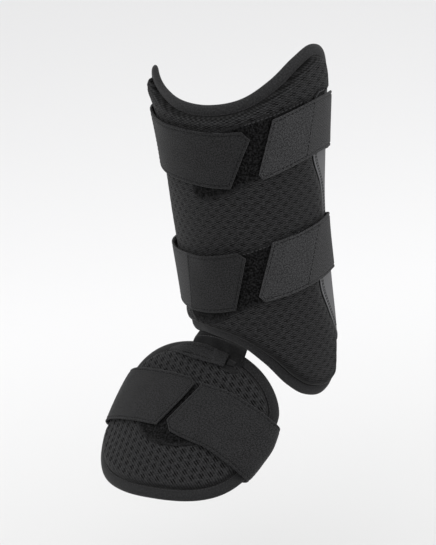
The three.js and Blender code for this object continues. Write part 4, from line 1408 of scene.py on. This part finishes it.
FOOT_STRAP_PERIOD = 340
FOOT_STRAP_HEIGHT = 11.4
FOOT_STRAP_FLAT = 60
FOOT_STRAP_SAG = 3
FOOT_STRAP_TUCK = 1.9
FOOT_STRAP_WAVE = 0.15
FOOT_STRAP_TILT = 0.5
FOOT_STRAP_LINE = table("turn middle width", [
    (0, -9, 48), (21, -4, 49), (40, -1.3, 50), (60, 5, 50), (82, 12.5, 50), (100, 12.5, 49), (170, -4, 48),
    (240, -15, 46), (260, -15.5, 46), (280, -14.6, 46.3), (293, -13.8, 46), (327, -11, 46.5),
    (350, -8.5, 46.5),
])
FOOT_STRAP_FOLD = table("turn past height", [
    (60, -22, 11.4), (66, -15.5, 11.2), (72, -9.5, 10.2), (78, -3.4, 8.0),
    (82, 1.2, 3.8), (85, 2.0, -1.2), (88, -1.4, -3.6), (94, -8, -5),
])
FOOT_STRAP_RIGHT_END = table("across turn", [(0, 19), (0.84, -1), (1, 5)])
FOOT_STRAP_LEFT_END = table("across turn", [(0, 349.1), (0.1, 354.9), (1, 331.5)])


def foot_strap_path(turn, edge):
    """Strap's inner face in the foot's cross-section: over the arch, round the edge and across below."""
    mirrored = turn > FOOT_STRAP_PERIOD / 2
    half = np.where(mirrored, FOOT_STRAP_PERIOD - turn, turn)
    flat = edge + FOOT_STRAP_FOLD["past"][0]
    over = half <= FOOT_STRAP_FLAT
    around = np.where(over, half / FOOT_STRAP_FLAT * flat, edge + read(FOOT_STRAP_FOLD, half, "past"))
    height = np.where(over, FOOT_STRAP_HEIGHT, read(FOOT_STRAP_FOLD, half, "height"))
    x, y = arch_point(around, height)
    last = FOOT_STRAP_FOLD["turn"][-1]
    below = np.maximum(half - last, 0) / (FOOT_STRAP_PERIOD / 2 - last)
    return np.where(mirrored, -1, 1) * x * (1 - below), y - FOOT_STRAP_SAG * below


def foot_strap_place(u, w, out=0.0):
    """Outer face of the foot strap, by shares along it and across it."""
    turn = turn_between(FOOT_STRAP_RIGHT_END, FOOT_STRAP_LEFT_END, u, w)
    along = along_line(FOOT_STRAP_LINE, turn, w)
    left = turn > FOOT_STRAP_PERIOD / 2
    edge = foot_half_width(along) + foot_fit(left, along) - FOOT_STRAP_TUCK * left
    x, y = foot_strap_path(turn, edge)
    (x0, y0), (x1, y1) = (foot_strap_path(turn + tilt, edge) for tilt in (-FOOT_STRAP_TILT, FOOT_STRAP_TILT))
    lift = (STRAP_THICKNESS + out) / np.hypot(x1 - x0, y1 - y0)
    return foot_place(x - (y1 - y0) * lift, along, y + (x1 - x0) * lift)


def foot_strap(name, slot, hems):
    strap_cloth(name, foot_strap_place, hems, FOOT_FELT, slot, FOOT_STRAP_WAVE, True)
    sew(f"{name}_stitching", hem_rows(foot_strap_place, hems), DARK_THREAD, slot, True)


foot_strap("foot_strap", "foot_strap_fabric", ("start", "end"))

FOOT_PATCH_MIDDLE = (4, 0.5)
FOOT_PATCH_HALF = (35, 27)
FOOT_PATCH_SQUARENESS = 2.1
foot_patch_outline = Outline(rounded_outline(*FOOT_PATCH_HALF, FOOT_PATCH_SQUARENESS) + FOOT_PATCH_MIDDLE)


def foot_patch(name):
    """Fuzzy field under the foot strap's ends."""
    piece = cut_cloth(name, foot_patch_outline.depth, foot_patch_outline, 0, PATCH_CELL)
    flat = points_of(piece)
    edge = foot_patch_outline.depth(flat[:, :2])[0]
    store_share(piece, "rim", 1 - smooth_step(0, PILE_RIM, edge))
    flat[:, 2] = FOOT_MESH_HEIGHT + pile_height(flat[:, :2], edge)
    lay_cloth(piece, flat, on_foot(flat), PATCH_CLOTH, LOOP, "loop_fabric", name, True)


foot_patch("foot_loop_patch")


# Connector from the shin to the foot, the flap over its end and the pull tab

CONNECTOR = {
    "shin": (-52, 4), "foot": (-5.5, 41), "thickness": 0.8, "shin_lap": 11,
    "spread": 5.5, "spread_to": (0, 0.35),
    "cells": (48, 44), "size": (47, 34), "pucker": 0.35, "puckers": 21, "pucker_rise": (0.35, 0.6),
    "pucker_fall": (0.7, 0.95), "stitch_ends": (0.03, 0.75), "pitch": 2.6, "below_hem": 1, "above_foot": 1.5,
}
CONNECTOR_LAP = table("across lap", [(0, 8.5), (0.5, 8.5), (0.68, 19), (0.8, 20.5), (0.92, 19), (1, 16)])
CONNECTOR_STITCHES = (("upper", 0.465, DARK_THREAD), ("lower", 0.495, PALE_THREAD))
LOWER_EDGE = -70
lower_run = shin_outline.points[shin_outline.points[:, 1] < LOWER_EDGE]
lower_run = lower_run[np.argsort(lower_run[:, 0])]


def lap_height(lap):
    """Outer face of the connector where it lies on the foot, at a distance in from the foot's edge."""
    panel = panel_height(np.maximum(lap - PANEL_INSET, 0), FOOT_MESH_HEIGHT)
    return np.maximum(BINDING_HEIGHT + GAP / 2, panel) + GAP + CONNECTOR["thickness"]


def connector_place(u, w, out=0.0):
    """Outer face of the connector: across it, and down from behind the shin to the top of the foot."""
    angle, around = from_ends(CONNECTOR["shin"], u), from_ends(CONNECTOR["foot"], u)
    hem = np.interp(angle * ROUND, lower_run[:, 0], lower_run[:, 1])
    top = foot_top(around)
    behind = -GAP + out
    over = BINDING_HEIGHT + GAP + CONNECTOR["thickness"] + out
    spread = CONNECTOR["spread"] * (1 - smooth_step(*CONNECTOR["spread_to"], u))
    shin_lap, foot_lap = CONNECTOR["shin_lap"], read(CONNECTOR_LAP, u, "lap")
    stops = np.stack([
        shin_point(angle, hem + shin_lap, behind),
        shin_point(angle, hem + shin_lap / 2, behind),
        shin_point(angle, hem - CONNECTOR["below_hem"], behind + spread),
        foot_point(around, top - CONNECTOR["above_foot"], over),
        foot_point(around, top + foot_lap / 2, lap_height(foot_lap / 2) + out),
        foot_point(around, top + foot_lap, lap_height(foot_lap) + out),
    ])
    return open_curve(stops, w)


def connector(name, slot):
    """Stretch cloth, a little puckered over the foot's edge, with two rows of stitches."""
    piece = flat_cloth(name, *CONNECTOR["cells"])
    u, w = shares_of(piece)
    flat = np.stack([u, w], -1) * CONNECTOR["size"]
    fullness = hump(CONNECTOR["pucker_rise"], CONNECTOR["pucker_fall"], w)
    points = connector_place(u, w, CONNECTOR["pucker"] * np.sin(u * CONNECTOR["puckers"]) * fullness)
    lay_cloth(piece, flat, points, CONNECTOR["thickness"], CONNECTOR_CLOTH, slot, name, True)
    declare_sheet(connector_place)
    for row_name, w, cloth in CONNECTOR_STITCHES:
        row = stitch_row(connector_place, [(u, w) for u in CONNECTOR["stitch_ends"]], CONNECTOR["pitch"])
        sew(f"connector_{row_name}_stitching", [row], cloth, slot, True)


connector("ankle_connector", "connector_cloth")

FLAP = table("across near far low high", [
    (-25, -58, -56, 5.9, 6.2), (-10, -63.3, -51.7, 6.6, 10.3), (6, -63.5, -47.9, 7.6, 11.3),
    (20, -60, -46.4, 7.6, 11.3), (29.8, -57.5, -45, 7.6, 11.3),
])
FLAP_CELLS = (120, 28)
FLAP_THICKNESS = 1.4
FLAP_WAVE = 0.25
FLAP_EDGE_ROUND = 0.35
FLAP_FOLD = {"from": 17.5, "slant": 3, "rise": 0.9, "half_width": 1.6}
FLAP_CREASE = {"rise": (-8, -6), "fall": (1, 3)}
FLAP_CREASE_DEPTH = 0.8
FLAP_CREASE_LINE = {"at": -52.6, "spread": 0.6}
FLAP_STITCH = {"across": (0.22, 0.78), "ends": (0.03, 0.97), "pitch": 3.0}


def flap_place(u, w, out=0.0):
    """Outer face of the flap along the foot's top edge."""
    across = from_ends(FLAP["across"], u)
    near, far, low, high = (read(FLAP, across, column) for column in ("near", "far", "low", "high"))
    height = low + (high - low) * np.sin(np.clip(w, 0, 1) * math.pi / 2) + FLAP_THICKNESS + out
    return foot_point(across, near + (far - near) * w, height)


def flap(name, slot):
    """Felt strip with a folded end and a crease."""
    length, width = stretch_size(flap_place)
    piece = flat_cloth(name, *FLAP_CELLS)
    u, w = eased(shares_of(piece))
    edge = edge_distance(u, w, length, width)
    across = from_ends(FLAP["across"], u)
    along = from_ends([read(FLAP, across, "near"), read(FLAP, across, "far")], w)
    past_fold = across - FLAP_FOLD["from"] - FLAP_FOLD["slant"] * w
    fold = FLAP_FOLD["rise"] * smooth_step(-FLAP_FOLD["half_width"], FLAP_FOLD["half_width"], past_fold)
    crease = FLAP_CREASE_DEPTH * hump(**FLAP_CREASE, value=across) * ridge(along, **FLAP_CREASE_LINE)
    rounding = FLAP_EDGE_ROUND * np.clip(1 - edge / CUT_EDGE, 0, 1) ** 2
    points = flap_place(u, w, ripple(u, w, FLAP_WAVE) - rounding + fold - crease)
    flat = np.stack([u * length, w * width], -1)
    lay_cloth(piece, flat, points, FLAP_THICKNESS, FOOT_FELT, slot, name, True)
    declare_sheet(flap_place)
    paths = [[(u, w) for u in FLAP_STITCH["ends"]] for w in FLAP_STITCH["across"]]
    rows = [stitch_row(flap_place, path, FLAP_STITCH["pitch"]) for path in paths]
    sew(f"{name}_stitching", rows, DARK_THREAD, slot, True)


flap("foot_flap", "foot_strap_fabric")

PULL_TAB = {
    "across": (31, 37), "along": (-57, -48.5), "half_thickness": 0.35, "lift": 1.3, "squareness": 0.6,
    "cells": (40, 14), "size": (20, 10.5),
}


def pull_tab(name):
    """Small tab folded over on itself at the flap's end."""
    piece = flat_cloth(name, *PULL_TAB["cells"])
    u, w = shares_of(piece)
    turn = u * 2 * math.pi
    bent = np.sign(np.cos(turn)) * np.abs(np.cos(turn)) ** PULL_TAB["squareness"]
    around = from_ends(PULL_TAB["across"], (1 + bent) / 2)
    along = from_ends(PULL_TAB["along"], w)
    bulge = PULL_TAB["half_thickness"] * (PULL_TAB["lift"] + np.sin(turn))
    rise = lap_height(along - foot_top(around)) + bulge
    lay_pattern(piece, np.stack([u, w], -1) * PULL_TAB["size"])
    move_points(piece, foot_point(around, along, rise) * MM)
    edit(
        piece,
        MERGE,
        (bpy.ops.mesh.select_all, {"action": "DESELECT"}),
        (bpy.ops.mesh.select_non_manifold, {}),
        (bpy.ops.mesh.fill, {}),
        (bpy.ops.mesh.select_all, {"action": "SELECT"}),
        OUTWARDS,
    )
    finish_piece(piece, CONNECTOR_CLOTH, "foot_strap_fabric", name)


pull_tab("foot_pull_tab")


# Camera at the photograph's angle

PHOTO = (436, 545)
CAMERA_AZIMUTH = 27 * DEG
CAMERA_ELEVATION = 20 * DEG
CAMERA_ROLL = 6.5 * DEG
CAMERA_DISTANCE = 1.6
CAMERA_NEAR = 0.05
FOCAL_PIXELS = 2033
ORIGIN_PIXEL = (226, 228)
SENSOR = 36


def way_out(azimuth, elevation):
    """Direction out from the guard, by its turn from the front and its rise."""
    level = math.cos(elevation)
    return Vector((math.sin(azimuth) * level, -math.cos(azimuth) * level, math.sin(elevation)))


def photo_camera():
    """Camera that sees the guard's origin at its place in the photograph."""
    back = way_out(CAMERA_AZIMUTH, CAMERA_ELEVATION)
    right = Vector((math.cos(CAMERA_AZIMUTH), math.sin(CAMERA_AZIMUTH), 0))
    up = right.cross(-back)
    tilt = Matrix.Rotation(CAMERA_ROLL, 3, back)
    right, up = tilt.transposed() @ right, tilt.transposed() @ up
    across = (PHOTO[0] / 2 - ORIGIN_PIXEL[0]) / FOCAL_PIXELS
    above = (ORIGIN_PIXEL[1] - PHOTO[1] / 2) / FOCAL_PIXELS
    ahead = (-back + right * across + up * above).normalized()
    right = ahead.cross(up).normalized()
    up = right.cross(ahead)
    bpy.ops.object.camera_add(location=back * CAMERA_DISTANCE)
    camera = bpy.context.object
    camera.name = "camera"
    camera.rotation_euler = Matrix((right, up, -ahead)).transposed().to_euler()
    camera.data.sensor_width = SENSOR
    camera.data.lens = SENSOR * FOCAL_PIXELS / max(PHOTO)
    camera.data.clip_start = CAMERA_NEAR
    bpy.context.scene.camera = camera


photo_camera()


# Pale floor with a painted falloff of light, dimmer on the camera's side, and soft studio light

FLOOR_DROP = 0.16
FLOOR_SIZE = 30
FLOOR_NEAR = 0.1
FLOOR_MIDDLE = 0.8
FLOOR_PAINTED_SHADE = (0.73, 0.73, 0.73, 1)
FLOOR_PALE = (0.84, 0.84, 0.845, 1)
FLOOR_SPECULAR = 0.1
WORLD_WHITE = (1, 1, 1, 1)
WORLD_STRENGTH = 0.92
LIGHTS = {
    "right_box": {"azimuth": 100, "elevation": 25, "distance": 1.6, "size": 1.2, "power": 9},
    "left_box": {"azimuth": -60, "elevation": 30, "distance": 1.6, "size": 1.2, "power": 6},
    "top_box": {"azimuth": 20, "elevation": 75, "distance": 1.8, "size": 1.4, "power": 6},
}


def pale_floor():
    bpy.ops.mesh.primitive_plane_add(size=FLOOR_SIZE, location=(0, 0, cad_low.z - FLOOR_DROP))
    floor = bpy.context.object
    floor.name = "floor"
    finish = Finish("pale_floor", roughness=0.9, sheen=0.0)
    x, y, _ = finish.axes(finish.coordinates("Object"))
    # Painted falloff of light: the floor's colour is dim on the camera's side of the guard and under it, and
    # paler beyond it.
    away = y * math.cos(CAMERA_AZIMUTH) - x * math.sin(CAMERA_AZIMUTH)
    near = {"Value": away, "From Min": FLOOR_NEAR, "From Max": FLOOR_MIDDLE, "To Min": 0, "To Max": 1}
    share = finish.node("ShaderNodeMapRange", {"interpolation_type": "SMOOTHSTEP"}, near)
    finish.set("Base Color", finish.mix(share, FLOOR_PAINTED_SHADE, FLOOR_PALE))
    finish.set("Specular IOR Level", FLOOR_SPECULAR)
    floor.data.materials.append(finish.material)


def soft_light(name, azimuth, elevation, distance, size, power):
    """A square soft box that faces the guard."""
    back = way_out(azimuth * DEG, elevation * DEG)
    bpy.ops.object.light_add(type="AREA", location=back * distance)
    lamp = bpy.context.object
    lamp.name = name
    lamp.rotation_euler = back.to_track_quat("Z", "Y").to_euler()
    lamp.data.shape = "SQUARE"
    lamp.data.size = size
    lamp.data.energy = power


def pale_world():
    world = bpy.data.worlds.new("studio")
    world.use_nodes = True
    background = world.node_tree.nodes["Background"]
    background.inputs["Color"].default_value = WORLD_WHITE
    background.inputs["Strength"].default_value = WORLD_STRENGTH
    bpy.context.scene.world = world


pale_floor()
for light_name, light in LIGHTS.items():
    soft_light(light_name, **light)
pale_world()
bpy.context.scene.view_settings.view_transform = "Standard"
